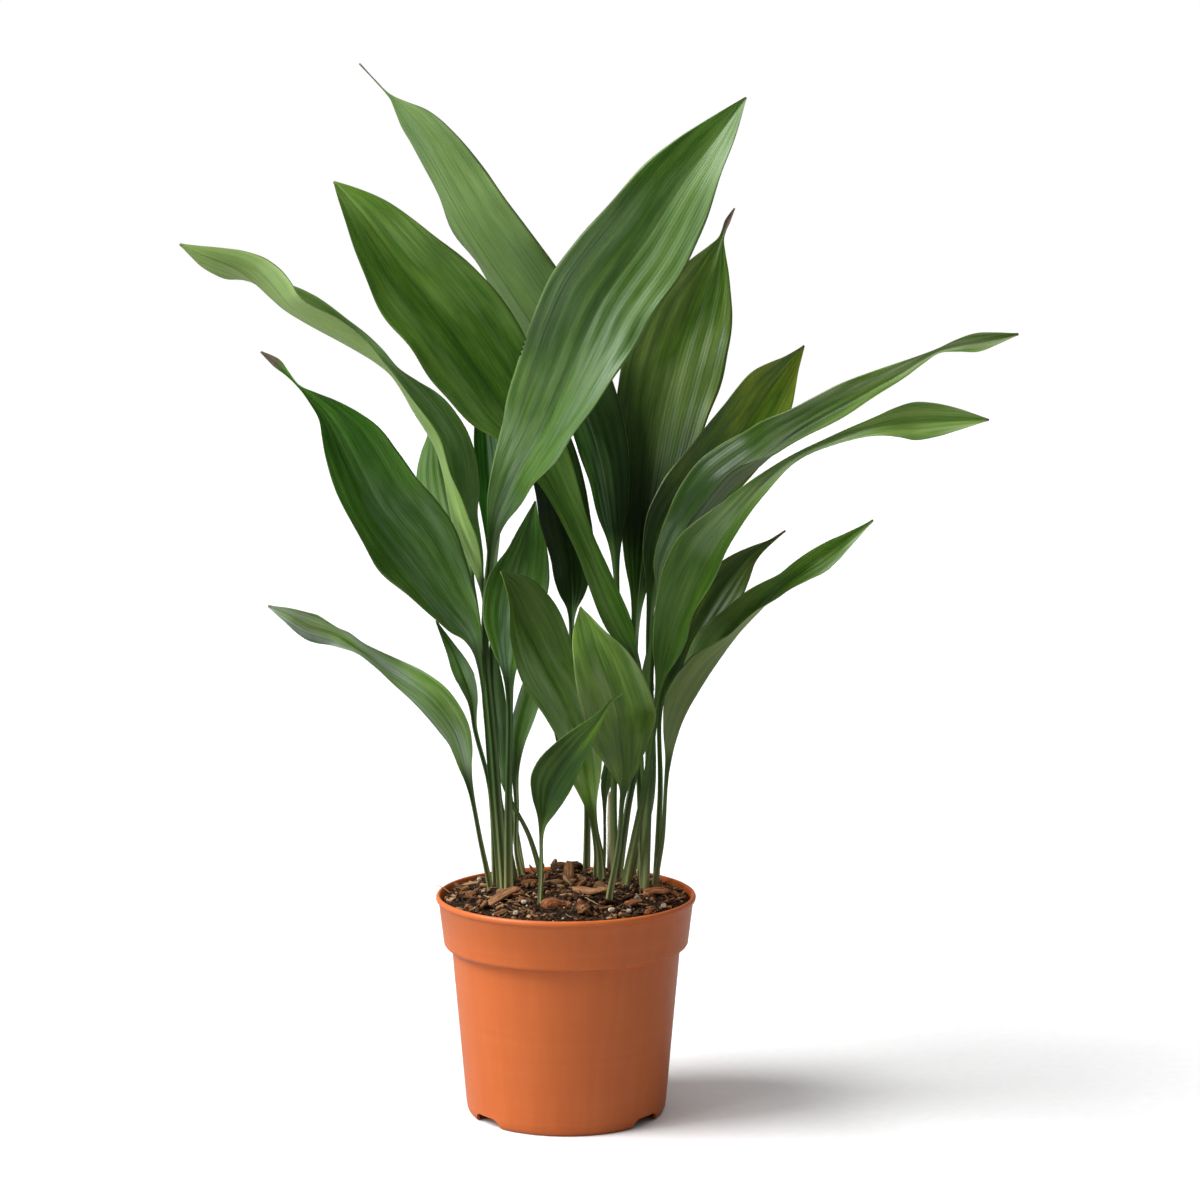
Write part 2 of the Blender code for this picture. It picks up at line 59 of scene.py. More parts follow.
# ---- meshes ------------------------------------------------------------------------------------
def new_piece(name, vertices, faces, material, replaced=(), smooth=True, attributes=()):
    """Mesh object in the frame's own coordinates that rides on the root body."""
    mesh = bpy.data.meshes.new(name)
    mesh.from_pydata([tuple(v) for v in vertices], [], faces)
    for label, values in dict(attributes).items():
        layer = mesh.attributes.new(label, "FLOAT_VECTOR", "POINT")
        layer.data.foreach_set("vector", np.asarray(values, np.float32).ravel())
    if smooth:
        mesh.shade_smooth()
    mesh.materials.append(material)
    obj = bpy.data.objects.new(name, mesh)
    bpy.context.scene.collection.objects.link(obj)
    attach(obj, "root")
    if replaced:
        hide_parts(*replaced)
    return obj


def lattice(i, j, k, seed):
    """Repeatable values from 0 to 1 at whole-numbered points."""
    h = (i * 73856093) ^ (j * 19349663) ^ (k * 83492791) ^ (seed * 97531)
    h = ((h ^ (h >> 13)) * 1274126177) & 0xFFFFFFFF
    return ((h >> 8) & 0xFFFF) / 65535.0


def bumps(points, size, seed=0):
    """Smooth noise from -1 to 1 whose lumps are about size across."""
    q = np.asarray(points, float) / size
    cell = np.floor(q).astype(np.int64)
    f = q - cell
    f = f * f * (3 - 2 * f)
    total = 0.0
    for dx in (0, 1):
        for dy in (0, 1):
            for dz in (0, 1):
                weight = (f[..., 0] if dx else 1 - f[..., 0]) * (f[..., 1] if dy else 1 - f[..., 1])
                weight = weight * (f[..., 2] if dz else 1 - f[..., 2])
                corner = lattice(cell[..., 0] + dx, cell[..., 1] + dy, cell[..., 2] + dz, seed)
                total = total + weight * corner
    return 2 * total - 1


def step_up(value, low, high):
    """Smooth change from 0 at low to 1 at high."""
    t = np.clip((value - low) / (high - low), 0, 1)
    return t * t * (3 - 2 * t)


# ---- node materials ----------------------------------------------------------------------------
def add(tree, kind, inputs=(), **settings):
    """New shader node; inputs maps a socket to a value or to another node's output."""
    node = tree.nodes.new("ShaderNode" + kind)
    for key, value in settings.items():
        setattr(node, key, value)
    for key, value in dict(inputs).items():
        if isinstance(value, bpy.types.NodeSocket):
            tree.links.new(value, node.inputs[key])
        else:
            node.inputs[key].default_value = value
    return node


def calc(tree, operation, a, b=0.0, clamp=False):
    """Result of a Math node."""
    return add(tree, "Math", {0: a, 1: b}, operation=operation, use_clamp=clamp).outputs[0]


def mix(tree, factor, a, b):
    """Colour between a and b."""
    node = add(tree, "Mix", data_type="RGBA")
    for socket, value in ((node.inputs[0], factor), (node.inputs[6], a), (node.inputs[7], b)):
        if isinstance(value, bpy.types.NodeSocket):
            tree.links.new(value, socket)
        elif isinstance(value, tuple):
            socket.default_value = (*value, 1.0)
        else:
            socket.default_value = value
    return node.outputs[2]


def ramp(tree, value, stops):
    """Colour ramp through (position, colour) stops; a single number is a grey."""
    node = add(tree, "ValToRGB", {0: value})
    elements = node.color_ramp.elements
    while len(elements) < len(stops):
        elements.new(0.5)
    for element, (position, colour) in zip(elements, stops):
        element.position = position
        element.color = (*colour, 1.0) if isinstance(colour, tuple) else (colour, colour, colour, 1.0)
    return node.outputs[0]


def grain(tree, vector, scale, detail=3.0, rough=0.55):
    inputs = {"Vector": vector, "Scale": scale, "Detail": detail, "Roughness": rough}
    return add(tree, "TexNoise", inputs).outputs[0]


def split(tree, label):
    """The three numbers of a stored vertex attribute."""
    place = add(tree, "Attribute", attribute_name=label)
    return add(tree, "SeparateXYZ", {0: place.outputs["Vector"]}).outputs


def bump(tree, height, distance, strength=1.0, normal=None):
    inputs = {"Height": height, "Distance": distance, "Strength": strength}
    if normal is not None:
        inputs["Normal"] = normal
    return add(tree, "Bump", inputs).outputs[0]


def start(name):
    """New material: its node tree and its Principled shader."""
    mat = bpy.data.materials.new(name)
    mat.use_nodes = True
    return mat, mat.node_tree, mat.node_tree.nodes["Principled BSDF"]


def finish(mat, colour, roughness, normal):
    tree = mat.node_tree
    shader = tree.nodes["Principled BSDF"]
    for socket, value in (("Base Color", colour), ("Roughness", roughness), ("Normal", normal)):
        tree.links.new(value, shader.inputs[socket])
    return mat


def leaf_material():
    """Leaf skin.  leaf_place is (across, along, blade), leaf_state is (under, dry, tone), leaf_vein is
    (place over the veins, seed, how far the ridges stand out) and the tint attribute multiplies the colour;
    the tint and the tone hold painted light and shade as well as each leaf's own colour.  A painted sheen,
    painted shade in the creases and a painted shade line along the midrib are mixed in as well."""
    mat, tree, shader = start("leaf_skin")
    across, along, blade = split(tree, "leaf_place")
    under, dry, tone = split(tree, "leaf_state")
    vein, seed, stand = split(tree, "leaf_vein")

    def stretched(over, lengthwise):
        x = calc(tree, "MULTIPLY", vein, over)
        y = calc(tree, "MULTIPLY", along, lengthwise)
        return add(tree, "CombineXYZ", {0: x, 1: y, 2: seed}).outputs[0]

    position = add(tree, "TexCoord").outputs["Object"]
    broad = grain(tree, stretched(3.6, 13.0), 1.0, 4.0, 0.6)
    fine = grain(tree, stretched(17.0, 22.0), 1.0, 4.0, 0.65)
    line = grain(tree, stretched(24.0, 5.0), 1.0, 2.0)
    patch = grain(tree, stretched(1.5, 12.0), 1.0, 2.0)
    cloud = grain(tree, position, 16.0, 3.0)
    streak = calc(tree, "ADD", calc(tree, "MULTIPLY", broad, 0.68), calc(tree, "MULTIPLY", fine, 0.32))
    streak = calc(tree, "ADD", streak, calc(tree, "MULTIPLY", calc(tree, "SUBTRACT", cloud, 0.5), 0.35))
    streak = calc(tree, "ADD", streak, calc(tree, "MULTIPLY", tone, 0.12))
    face = ramp(tree, streak, [(0.30, (0.011, 0.040, 0.001)), (0.5, (0.030, 0.086, 0.004)),
                               (0.70, (0.074, 0.150, 0.022))])
    back = ramp(tree, streak, [(0.25, (0.055, 0.105, 0.014)), (0.5, (0.105, 0.178, 0.034)),
                               (0.75, (0.180, 0.260, 0.070))])
    colour = mix(tree, under, face, back)
    # painted sheen: pale grey-green streaks stand in for the reflections on the glossy blades
    painted_sheen = calc(tree, "MULTIPLY", ramp(tree, patch, [(0.46, 0.0), (0.66, 0.55)]),
                 ramp(tree, fine, [(0.38, 0.45), (0.60, 1.0)]))
    colour = mix(tree, painted_sheen, colour, (0.150, 0.235, 0.105))
    # the tint carries painted light and shade as well as each leaf's own colour
    tint = add(tree, "Attribute", attribute_name="leaf_tint_and_painted_light").outputs["Vector"]
    colour = add(tree, "VectorMath", {0: colour, 1: tint}, operation="MULTIPLY").outputs[0]
    # painted shade: thin dark lines darken the creases, which the bump also sinks
    painted_crease_shade = calc(tree, "MULTIPLY", ramp(tree, line, [(0.58, 0.0), (0.70, 1.0)]),
                  ramp(tree, patch, [(0.42, 0.0), (0.62, 0.55)]))
    colour = mix(tree, painted_crease_shade, colour, (0.010, 0.036, 0.003))
    distance = calc(tree, "ABSOLUTE", across)
    # painted shade: a darker line along the midrib groove that the relief cuts, on both faces
    midrib_shade = calc(tree, "LESS_THAN", distance, 0.022)
    colour = mix(tree, calc(tree, "MULTIPLY", midrib_shade, 0.35), colour, (0.012, 0.040, 0.005))
    edge = calc(tree, "MULTIPLY", calc(tree, "GREATER_THAN", distance, 0.975), blade)
    colour = mix(tree, calc(tree, "MULTIPLY", edge, 0.45), colour, (0.20, 0.28, 0.09))
    stalk = calc(tree, "SUBTRACT", 1.0, blade)
    stalk_green = mix(tree, fine, (0.018, 0.050, 0.006), (0.055, 0.115, 0.018))
    colour = mix(tree, stalk, colour, stalk_green)
    low = ramp(tree, calc(tree, "MULTIPLY", along, 10.0), [(0.08, 1.0), (0.30, 0.45), (0.75, 0.0)])
    pale = mix(tree, fine, (0.16, 0.20, 0.06), (0.42, 0.42, 0.20))
    colour = mix(tree, calc(tree, "MULTIPLY", calc(tree, "MULTIPLY", low, stalk), 0.75), colour, pale)
    dead = mix(tree, grain(tree, position, 260.0, 4.0), (0.060, 0.042, 0.028), (0.26, 0.20, 0.14))
    colour = mix(tree, dry, colour, dead)
    gloss = calc(tree, "ADD", 0.26, calc(tree, "MULTIPLY", broad, 0.30))
    gloss = calc(tree, "ADD", gloss, calc(tree, "MULTIPLY", under, 0.12))
    gloss = calc(tree, "ADD", gloss, calc(tree, "MULTIPLY", dry, 0.35), clamp=True)
    ridge = calc(tree, "SINE", calc(tree, "MULTIPLY", vein, 85.0))
    ridge = calc(tree, "ADD", calc(tree, "MULTIPLY", ridge, 0.30), calc(tree, "MULTIPLY", fine, 1.4))
    ridge = calc(tree, "ADD", ridge, calc(tree, "MULTIPLY", broad, 3.0))
    ridge = calc(tree, "SUBTRACT", ridge, calc(tree, "MULTIPLY", painted_crease_shade, 0.8))
    ridge = calc(tree, "MULTIPLY", ridge, stand)
    skin = bump(tree, ridge, 0.00018, 0.5)
    skin = bump(tree, grain(tree, position, 900.0, 2.0), 0.00003, 0.15, skin)
    green = add(tree, "SeparateXYZ", {0: tint}).outputs[1]
    wax = calc(tree, "ADD", 0.08, calc(tree, "MULTIPLY", calc(tree, "MINIMUM", green, 1.0), 0.26))
    tree.links.new(wax, shader.inputs["Specular IOR Level"])
    return finish(mat, colour, gloss, skin)


def dry_material():
    """Dead sheath tissue: cream with brown fibres, darker near the soil."""
    mat, tree, shader = start("dried_sheath")
    place = add(tree, "TexCoord").outputs["Object"]
    stretched = add(tree, "Mapping", {0: place, 3: (900.0, 900.0, 90.0)}).outputs[0]
    fibre = grain(tree, stretched, 1.0, 4.0, 0.6)
    height = add(tree, "SeparateXYZ", {0: place}).outputs[2]
    rise = calc(tree, "MULTIPLY", calc(tree, "SUBTRACT", height, POT_HEIGHT + 0.004), 70.0, clamp=True)
    colour = ramp(tree, fibre, [(0.3, (0.36, 0.25, 0.13)), (0.5, (0.70, 0.60, 0.42)),
                                (0.7, (0.82, 0.75, 0.58))])
    colour = mix(tree, rise, (0.12, 0.065, 0.03), colour)
    rough = ramp(tree, fibre, [(0.3, 0.85), (0.7, 0.6)])
    return finish(mat, colour, rough, bump(tree, fibre, 0.0004, 0.8))


def pot_material():
    """Moulded terracotta-coloured plastic with faint flow marks, handling marks and a fine satin skin."""
    mat, tree, shader = start("terracotta_plastic")
    place = add(tree, "TexCoord").outputs["Object"]
    cloud = grain(tree, place, 9.0, 4.0)
    rings = grain(tree, add(tree, "Mapping", {0: place, 3: (6.0, 6.0, 260.0)}).outputs[0], 1.0, 3.0)
    flow = grain(tree, add(tree, "Mapping", {0: place, 3: (130.0, 130.0, 9.0)}).outputs[0], 1.0, 3.0)
    speck = grain(tree, place, 700.0, 2.0)
    tint = calc(tree, "ADD", calc(tree, "MULTIPLY", cloud, 0.5), calc(tree, "MULTIPLY", flow, 0.3))
    tint = calc(tree, "ADD", tint, calc(tree, "MULTIPLY", rings, 0.2))
    colour = ramp(tree, tint, [(0.30, (0.545, 0.118, 0.024)), (0.50, (0.600, 0.138, 0.029)),
                               (0.72, (0.660, 0.166, 0.039))])
    dust = ramp(tree, grain(tree, place, 60.0, 6.0, 0.7), [(0.60, 0.0), (0.80, 0.25)])
    colour = mix(tree, dust, colour, (0.62, 0.20, 0.085))
    sheen = calc(tree, "ADD", calc(tree, "MULTIPLY", cloud, 0.6), calc(tree, "MULTIPLY", speck, 0.4))
    rough = ramp(tree, sheen, [(0.3, 0.34), (0.7, 0.48)])
    skin = bump(tree, speck, 0.00006, 0.35)
    skin = bump(tree, rings, 0.00012, 0.25, skin)
    shader.inputs["Specular IOR Level"].default_value = 0.36
    return finish(mat, colour, rough, skin)


def soil_material():
    """Dark peaty mix with brown and rusty patches; the colour goes near black where the lumps' bump is low,
    dark peat with painted shade in the gaps between crumbs.
    """
    mat, tree, shader = start("potting_mix")
    place = add(tree, "TexCoord").outputs["Object"]
    lumps = grain(tree, place, 320.0, 5.0, 0.7)
    patch = grain(tree, place, 70.0, 3.0)
    # painted shade: the low lumps, the hollows of the bump, go near black as shade between crumbs as well
    # as dark peat
    colour = ramp(tree, lumps, [(0.36, (0.003, 0.002, 0.001)), (0.52, (0.018, 0.009, 0.004)),
                                (0.62, (0.080, 0.040, 0.018)), (0.76, (0.22, 0.12, 0.06))])
    rusty = ramp(tree, patch, [(0.50, 0.0), (0.75, 0.35)])
    colour = mix(tree, rusty, colour, (0.10, 0.048, 0.024))
    rough = ramp(tree, lumps, [(0.3, 0.95), (0.8, 0.75)])
    shader.inputs["Specular IOR Level"].default_value = 0.15
    return finish(mat, colour, rough, bump(tree, lumps, 0.0016, 0.9))


def bark_material():
    """Bark and wood: fibres run along each piece.  chip_place is the point in the piece's own axes, in
    millimetres; chip_tint is (hue, lightness, seed)."""
    mat, tree, shader = start("bark_chip")
    place = add(tree, "Attribute", attribute_name="chip_place").outputs["Vector"]
    hue, light, seed = split(tree, "chip_tint")
    moved = add(tree, "VectorMath", {0: place, 1: add(tree, "CombineXYZ", {2: seed}).outputs[0]},
                operation="ADD").outputs[0]
    fibre = grain(tree, add(tree, "Mapping", {0: moved, 3: (0.12, 1.1, 1.4)}).outputs[0], 1.0, 6.0, 0.65)
    patch = grain(tree, moved, 0.22, 3.0)
    brown = ramp(tree, fibre, [(0.32, (0.014, 0.006, 0.002)), (0.46, (0.120, 0.050, 0.017)),
                               (0.58, (0.300, 0.145, 0.055)), (0.72, (0.60, 0.38, 0.20))])
    red = ramp(tree, fibre, [(0.32, (0.035, 0.010, 0.003)), (0.47, (0.240, 0.075, 0.022)),
                             (0.70, (0.52, 0.23, 0.10))])
    colour = mix(tree, hue, brown, red)
    colour = mix(tree, ramp(tree, patch, [(0.5, 0.0), (0.75, 0.7)]), colour, (0.045, 0.026, 0.018))
    dark = mix(tree, calc(tree, "SUBTRACT", 1.0, light, clamp=True), colour, (0.012, 0.008, 0.006))
    pale = mix(tree, calc(tree, "SUBTRACT", light, 1.0, clamp=True), dark, (0.55, 0.36, 0.19))
    rough = ramp(tree, fibre, [(0.3, 0.92), (0.8, 0.66)])
    shader.inputs["Specular IOR Level"].default_value = 0.2
    return finish(mat, pale, rough, bump(tree, fibre, 0.0011, 0.9))


def grit_material():
    """Perlite: off-white foam glass with dark pores and a little soil on it."""
    mat, tree, shader = start("perlite")
    place = add(tree, "TexCoord").outputs["Object"]
    pores = grain(tree, place, 1500.0, 3.0, 0.6)
    stain = ramp(tree, grain(tree, place, 240.0, 3.0), [(0.40, 0.0), (0.65, 0.85)])
    colour = ramp(tree, pores, [(0.30, (0.22, 0.17, 0.11)), (0.50, (0.60, 0.53, 0.42)),
                                (0.7, (0.80, 0.75, 0.66))])
    colour = mix(tree, stain, colour, (0.20, 0.12, 0.07))
    rough = ramp(tree, pores, [(0.3, 0.95), (0.7, 0.8)])
    return finish(mat, colour, rough, bump(tree, pores, 0.0005, 0.8))


# ---- leaves ------------------------------------------------------------------------------------
# tone lightens a leaf above 0 and darkens it below; dry is the length in mm of the dead tip; low and high
# multiply the colour of the lower and the upper blade; a base length, where given, is the length in metres
# of the lower part painted dark as shade. Tone and the tints were set to how light or dark each leaf shows
# where it stands lit or in shade, so they hold painted light and shade as well as the leaf's own colour
LEAF_LOOKS = {
    "leaf_tall_back": dict(tone=0.5, dry=26, painted_shade_base=0.40,
                           low=(0.34, 0.45, 0.20), high=(1.17, 1.29, 1.30)),
    "leaf_upper_left": dict(tone=0.45, dry=2, low=(1.58, 1.67, 1.01), high=(1.77, 1.84, 1.01)),
    "leaf_front_tall": dict(tone=0.8, dry=2, low=(1.10, 1.05, 1.60), high=(1.08, 1.16, 0.85)),
    "leaf_back_right": dict(tone=0.0, dry=24, low=(0.34, 0.43, 0.18), high=(1.85, 1.52, 1.05)),
    "leaf_right_upright": dict(tone=-0.6, dry=4, low=(0.34, 0.45, 0.20), high=(2.70, 2.12, 0.33)),
    "leaf_right_long": dict(tone=0.2, dry=3, low=(0.40, 0.52, 0.24), high=(2.60, 1.90, 2.60)),
    "leaf_right_arching": dict(tone=0.7, dry=4, low=(0.55, 0.62, 0.30), high=(2.40, 1.90, 2.30)),
    "leaf_right_dark": dict(tone=-0.5, dry=8, low=(0.34, 0.45, 0.20), high=(0.96, 0.83, 0.26)),
    "leaf_right_low": dict(tone=0.6, dry=2, low=(1.10, 1.00, 0.95), high=(3.00, 2.60, 2.80)),
    "leaf_left_long": dict(tone=1.0, dry=2, low=(1.57, 1.79, 1.55), high=(1.82, 1.64, 2.02)),
    "leaf_left_broad": dict(tone=0.3, dry=22, low=(1.72, 1.60, 2.60), high=(0.80, 1.43, 0.15)),
    "leaf_left_low": dict(tone=0.9, dry=2, low=(4.00, 3.20, 5.98), high=(4.00, 2.70, 7.39)),
    "leaf_centre": dict(tone=0.0, dry=2, low=(4.00, 3.20, 8.00), high=(1.02, 1.28, 0.20)),
    "leaf_front_left": dict(tone=0.7, dry=0.6, low=(3.02, 2.62, 3.31), high=(1.03, 1.06, 0.34)),
    "leaf_front_right": dict(tone=0.3, dry=0.6, low=(1.55, 1.39, 0.49), high=(2.85, 2.28, 2.53)),
    "leaf_front_small": dict(tone=0.1, dry=0.6, low=(0.42, 0.50, 0.12), high=(0.66, 0.72, 0.12)),
    "leaf_back_dark": dict(tone=-0.9, dry=2, low=(0.34, 0.45, 0.20), high=(0.34, 0.45, 0.20)),
    "leaf_left_small": dict(tone=0.4, dry=2, low=(4.00, 3.20, 7.35), high=(0.34, 0.45, 0.20)),
    "leaf_left_pale": dict(tone=0.9, dry=2, low=(1.50, 1.50, 2.20), high=(0.40, 0.62, 0.30)),
    "leaf_left_dark": dict(tone=-0.7, dry=2, low=(0.34, 0.83, 0.20), high=(0.34, 0.79, 0.20)),
    "leaf_mid_pale": dict(tone=0.8, dry=2, low=(4.00, 3.20, 8.00), high=(4.00, 3.20, 8.00)),
    "leaf_mid_dark": dict(tone=-0.8, dry=2, low=(1.00, 1.00, 1.00), high=(1.00, 1.00, 1.00)),
    "leaf_young_centre": dict(tone=0.5, dry=2, low=(1.60, 1.50, 1.50), high=(1.60, 1.50, 1.50)),
    "leaf_young_upright": dict(tone=0.5, dry=2, low=(1.40, 1.40, 1.40), high=(1.40, 1.40, 1.40)),
    "leaf_young_right": dict(tone=0.2, dry=2, low=(1.20, 1.20, 1.00), high=(1.40, 1.40, 1.20)),
}
ALONG_STEPS = 6                 # fine rows between two CAD sections
HALF_STEPS = 14                 # fine columns from the midrib to a margin
ROOT_DEPTH = 7 * MM             # each stalk runs on this far into the growing medium
STALK_SLIM = 0.74               # width of a drawn stalk against its CAD body
UNDER_TINTS = (0.42, 0.55, 0.30), 1.7         # least and greatest tint of an underside


def cad_rings(node):
    """Sections of eight points that the CAD leaf is skinned over, from its foot to its tip."""
    bm = bmesh.new()
    bm.from_mesh(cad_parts[node].data)
    bmesh.ops.remove_doubles(bm, verts=bm.verts, dist=2e-6)
    ring = sorted(bm.verts, key=lambda v: v.co.z)[:8]
    seen = set(ring)
    rings = []
    while ring:
        rings.append(np.array([v.co for v in ring], float))
        found = {edge.other_vert(v) for v in ring for edge in v.link_edges} - seen
        seen |= found
        ring = sorted(found, key=lambda v: tuple(v.co))
    bm.free()
    return rings


def read_section(points, across):
    """Five points over the upper face from margin to margin, the thickness and the new direction across."""
    order = np.argsort(points @ across)
    left, right = points[order[0]], points[order[-1]]
    across = (right - left) / np.linalg.norm(right - left)
    pairs = [points[order[1:3]], points[order[3:5]], points[order[5:7]]]
    upward = (left + right) / 2 - pairs[1].mean(axis=0)
    top = [pair[np.argmax(pair @ upward)] for pair in pairs]
    thick = np.linalg.norm(pairs[1][0] - pairs[1][1])
    return np.array([left, *top, right]), thick, across


def leaf_sections(node):
    """Upper-face points and thickness of every CAD section, read outwards from the widest one."""
    rings = cad_rings(node)
    spans = [np.linalg.norm(r[:, None] - r[None], axis=2) for r in rings]
    widest = int(np.argmax([s.max() for s in spans]))
    a, b = np.unravel_index(spans[widest].argmax(), (8, 8))
    first = rings[widest][b] - rings[widest][a]
    top, thick = [None] * len(rings), [0.0] * len(rings)
    for order in (range(widest, len(rings)), range(widest, -1, -1)):
        across = first
        for i in order:
            top[i], thick[i], across = read_section(rings[i], across)
    return np.array(top), np.array(thick)


def smooth_rows(values, knots, fine):
    """Values at the knots carried over to the fine places by a smooth curve (cubic Hermite)."""
    slope = np.empty_like(values)
    gap = np.diff(knots)
    rate = np.diff(values, axis=0) / gap.reshape(-1, *[1] * (values.ndim - 1))
    slope[0], slope[-1] = rate[0], rate[-1]
    before, after = gap[:-1], gap[1:]
    shape = (-1, *[1] * (values.ndim - 1))
    slope[1:-1] = (rate[:-1] * after.reshape(shape) + rate[1:] * before.reshape(shape)) / (
        before + after).reshape(shape)
    i = np.clip(np.searchsorted(knots, fine, side="right") - 1, 0, len(knots) - 2)
    h = gap[i].reshape(shape)
    u = ((fine - knots[i]) / gap[i]).reshape(shape)
    return ((2 * u**3 - 3 * u**2 + 1) * values[i] + (u**3 - 2 * u**2 + u) * h * slope[i]
            + (-2 * u**3 + 3 * u**2) * values[i + 1] + (u**3 - u**2) * h * slope[i + 1])


def across_points(section, s):
    """Points over the section at the places s from -1 to 1, each half a smooth curve of its own."""
    t = np.abs(s)
    near, half, far = 2 * (t - 0.5) * (t - 1), -4 * t * (t - 1), 2 * t * (t - 0.5)
    middle, left, right = section[:, 2], section[:, :2], section[:, 3:]
    out = np.empty((len(section), len(s), 3))
    for k in range(len(s)):
        quarter, margin = (left[:, 1], left[:, 0]) if s[k] < 0 else (right[:, 0], right[:, 1])
        out[:, k] = near[k] * middle + half[k] * quarter + far[k] * margin
    return out


def leaf_surface(node):
    """Grid of points over the upper face, its normals, widths, thicknesses and lengths from the foot."""
    top, thick = leaf_sections(node)
    top = np.concatenate([top[:1] - [0, 0, ROOT_DEPTH], top])
    thick = np.concatenate([thick[:1], thick])
    knots = np.concatenate([[0.0], np.cumsum(np.linalg.norm(np.diff(top[:, 2], axis=0), axis=1))])
    inner = [np.linspace(a, b, ALONG_STEPS, endpoint=False) for a, b in zip(knots, knots[1:])]
    fine = np.concatenate(inner + [knots[-1:]])
    section = smooth_rows(top, knots, fine)
    width = np.linalg.norm(section[:, 4] - section[:, 0], axis=1)
    stem = np.median(width[: ALONG_STEPS * 4])
    slim = STALK_SLIM + (1 - STALK_SLIM) * step_up(width, 1.1 * stem, 1.1 * stem + 14 * MM)
    slim[int(width.argmax()):] = 1.0
    section = section[:, 2:3] + (section - section[:, 2:3]) * slim[:, None, None]
    s = np.linspace(-1, 1, 2 * HALF_STEPS + 1)
    s = np.sign(s) * np.abs(s) ** 0.9
    grid = across_points(section, s)
    width = np.linalg.norm(section[:, 4] - section[:, 0], axis=1)
    along_way = np.gradient(grid, axis=0)
    across_way = np.gradient(grid, axis=1)
    normal = np.cross(across_way, along_way)
    normal /= np.linalg.norm(normal, axis=2)[:, :, None] + 1e-12
    upward = (section[:, 0] + section[:, 4]) / 2 - section[:, 2]
    if (normal[:, HALF_STEPS] * upward).sum() < 0:
        normal = -normal
    return grid, normal, width, smooth_rows(thick, knots, fine) * slim, fine, s


def leaf_relief(s, along, width, blade, seed):
    """Height of the pleats, margin waves and midrib groove over the blade."""
    t = np.abs(s)[None]
    length = along[:, None]
    half = width[:, None] / 2
    pleats = np.sin(2 * pi * (s[None] * 3.4 + 0.25 * np.sin(14 * length + seed)))
    pleats = pleats * (0.6 + 0.4 * np.sin(23 * length + 2 * seed))
    relief = 0.024 * half * pleats * (1 - t**4)
    side = np.sign(s)[None]
    wave = np.sin(2 * pi * length / 0.085 + seed + 1.1 * side)
    wave = wave + 0.6 * np.sin(2 * pi * length / 0.047 + 2.3 * seed)
    relief = relief + 0.050 * half * wave * t**3
    relief = relief - 0.45 * MM * np.exp(-(t * half / (0.9 * MM)) ** 2)
    return relief * blade[:, None]


def leaf_values(look, vertices, along, width, blade, sides, lower, seed):
    """Values that the leaf material reads at every vertex; its docstring says what each one holds."""
    rows, count = len(along), len(sides)
    full = along[-1]
    dead = step_up(along, full - look["dry"] * MM, full - 0.35 * look["dry"] * MM)
    ragged = bumps(vertices, 6 * MM, 5).reshape(rows, count) * 0.8 * (dead * (1 - dead))[:, None]
    place = np.empty((rows, count, 3))
    place[..., 0] = sides[None]
    place[..., 1] = along[:, None] - ROOT_DEPTH
    place[..., 2] = blade[:, None]
    state = np.empty((rows, count, 3))
    state[..., 0] = lower[None]
    state[..., 1] = np.clip(dead[:, None] + ragged * (1 - dead[:, None]), 0, 1)
    state[..., 2] = look["tone"]
    # painted shade: below this length the blade is darkened and loses its paler underside, a shadow painted
    # into its colour
    if "painted_shade_base" in look:
        pale = step_up(along, look["painted_shade_base"] - 0.1, look["painted_shade_base"])[:, None]
        state[..., 0] *= pale
        state[..., 2] = pale * look["tone"] - 2.4 * (1 - pale)
    # painted light and shade: the low and high tints lighten the lit parts of leaves and darken the shaded
    # ones, besides setting the leaf's own colour
    climb = step_up(along / full, 0.5, 0.95)[:, None, None]
    tint = np.array(look["low"]) * (1 - climb) + np.array(look["high"]) * climb
    tint = np.broadcast_to(tint, (rows, count, 3))
    tint = np.where(lower[None, :, None] > 0.5, np.clip(tint, *UNDER_TINTS), tint)
    vein = np.empty((rows, count, 3))
    vein[..., 0] = sides[None] * ((width[:, None] + 1 * MM) / (50 * MM)) ** 0.35
    vein[..., 1] = 3.7 * seed
    vein[..., 2] = (np.clip(width / (45 * MM), 0, 1) ** 1.5)[:, None]
    return {"leaf_place": place, "leaf_state": state, "leaf_vein": vein, "leaf_tint_and_painted_light": tint}


def build_leaf(node, look, material, seed):
    """Closed thin body over the CAD leaf's own sections."""
    grid, normal, width, thick, along, s = leaf_surface(node)
    stem = np.median(width[: ALONG_STEPS * 4])
    peak = int(width.argmax())
    blade = step_up(width, 1.3 * stem, 1.3 * stem + 9 * MM)
    blade[peak:] = 1.0
    grid = grid + normal * leaf_relief(s, along, width, blade, seed)[:, :, None]
    depth = (thick * (0.95 - 0.45 * blade))[:, None] * np.sqrt(np.clip(1 - s**2, 0, 1))[None]
    under = grid - normal * depth[:, :, None]
    rows, columns = grid.shape[:2]
    loop = np.concatenate([grid, under[:, -2:0:-1]], axis=1)
    count = loop.shape[1]
    sides = np.concatenate([s, s[-2:0:-1]])
    lower = np.concatenate([np.zeros(columns), np.ones(columns - 2)])
    lower[0] = lower[columns - 1] = 0.5
    vertices = loop.reshape(-1, 3)
    faces = []
    for i in range(rows - 1):
        for k in range(count):
            m = (k + 1) % count
            faces.append((i * count + k, i * count + m, (i + 1) * count + m, (i + 1) * count + k))
    faces.append(tuple(reversed(range(count))))
    faces.append(tuple((rows - 1) * count + k for k in range(count)))
    values = leaf_values(look, vertices, along, width, blade, sides, lower, seed)
    piece = new_piece(node + "_blade", vertices, faces, material, [node], attributes=values)
    face_outwards(piece)
    return piece


def face_outwards(piece):
    """Turn all face normals to the outside."""
    bm = bmesh.new()
    bm.from_mesh(piece.data)
    bmesh.ops.recalc_face_normals(bm, faces=bm.faces)
    bm.to_mesh(piece.data)
    bm.free()


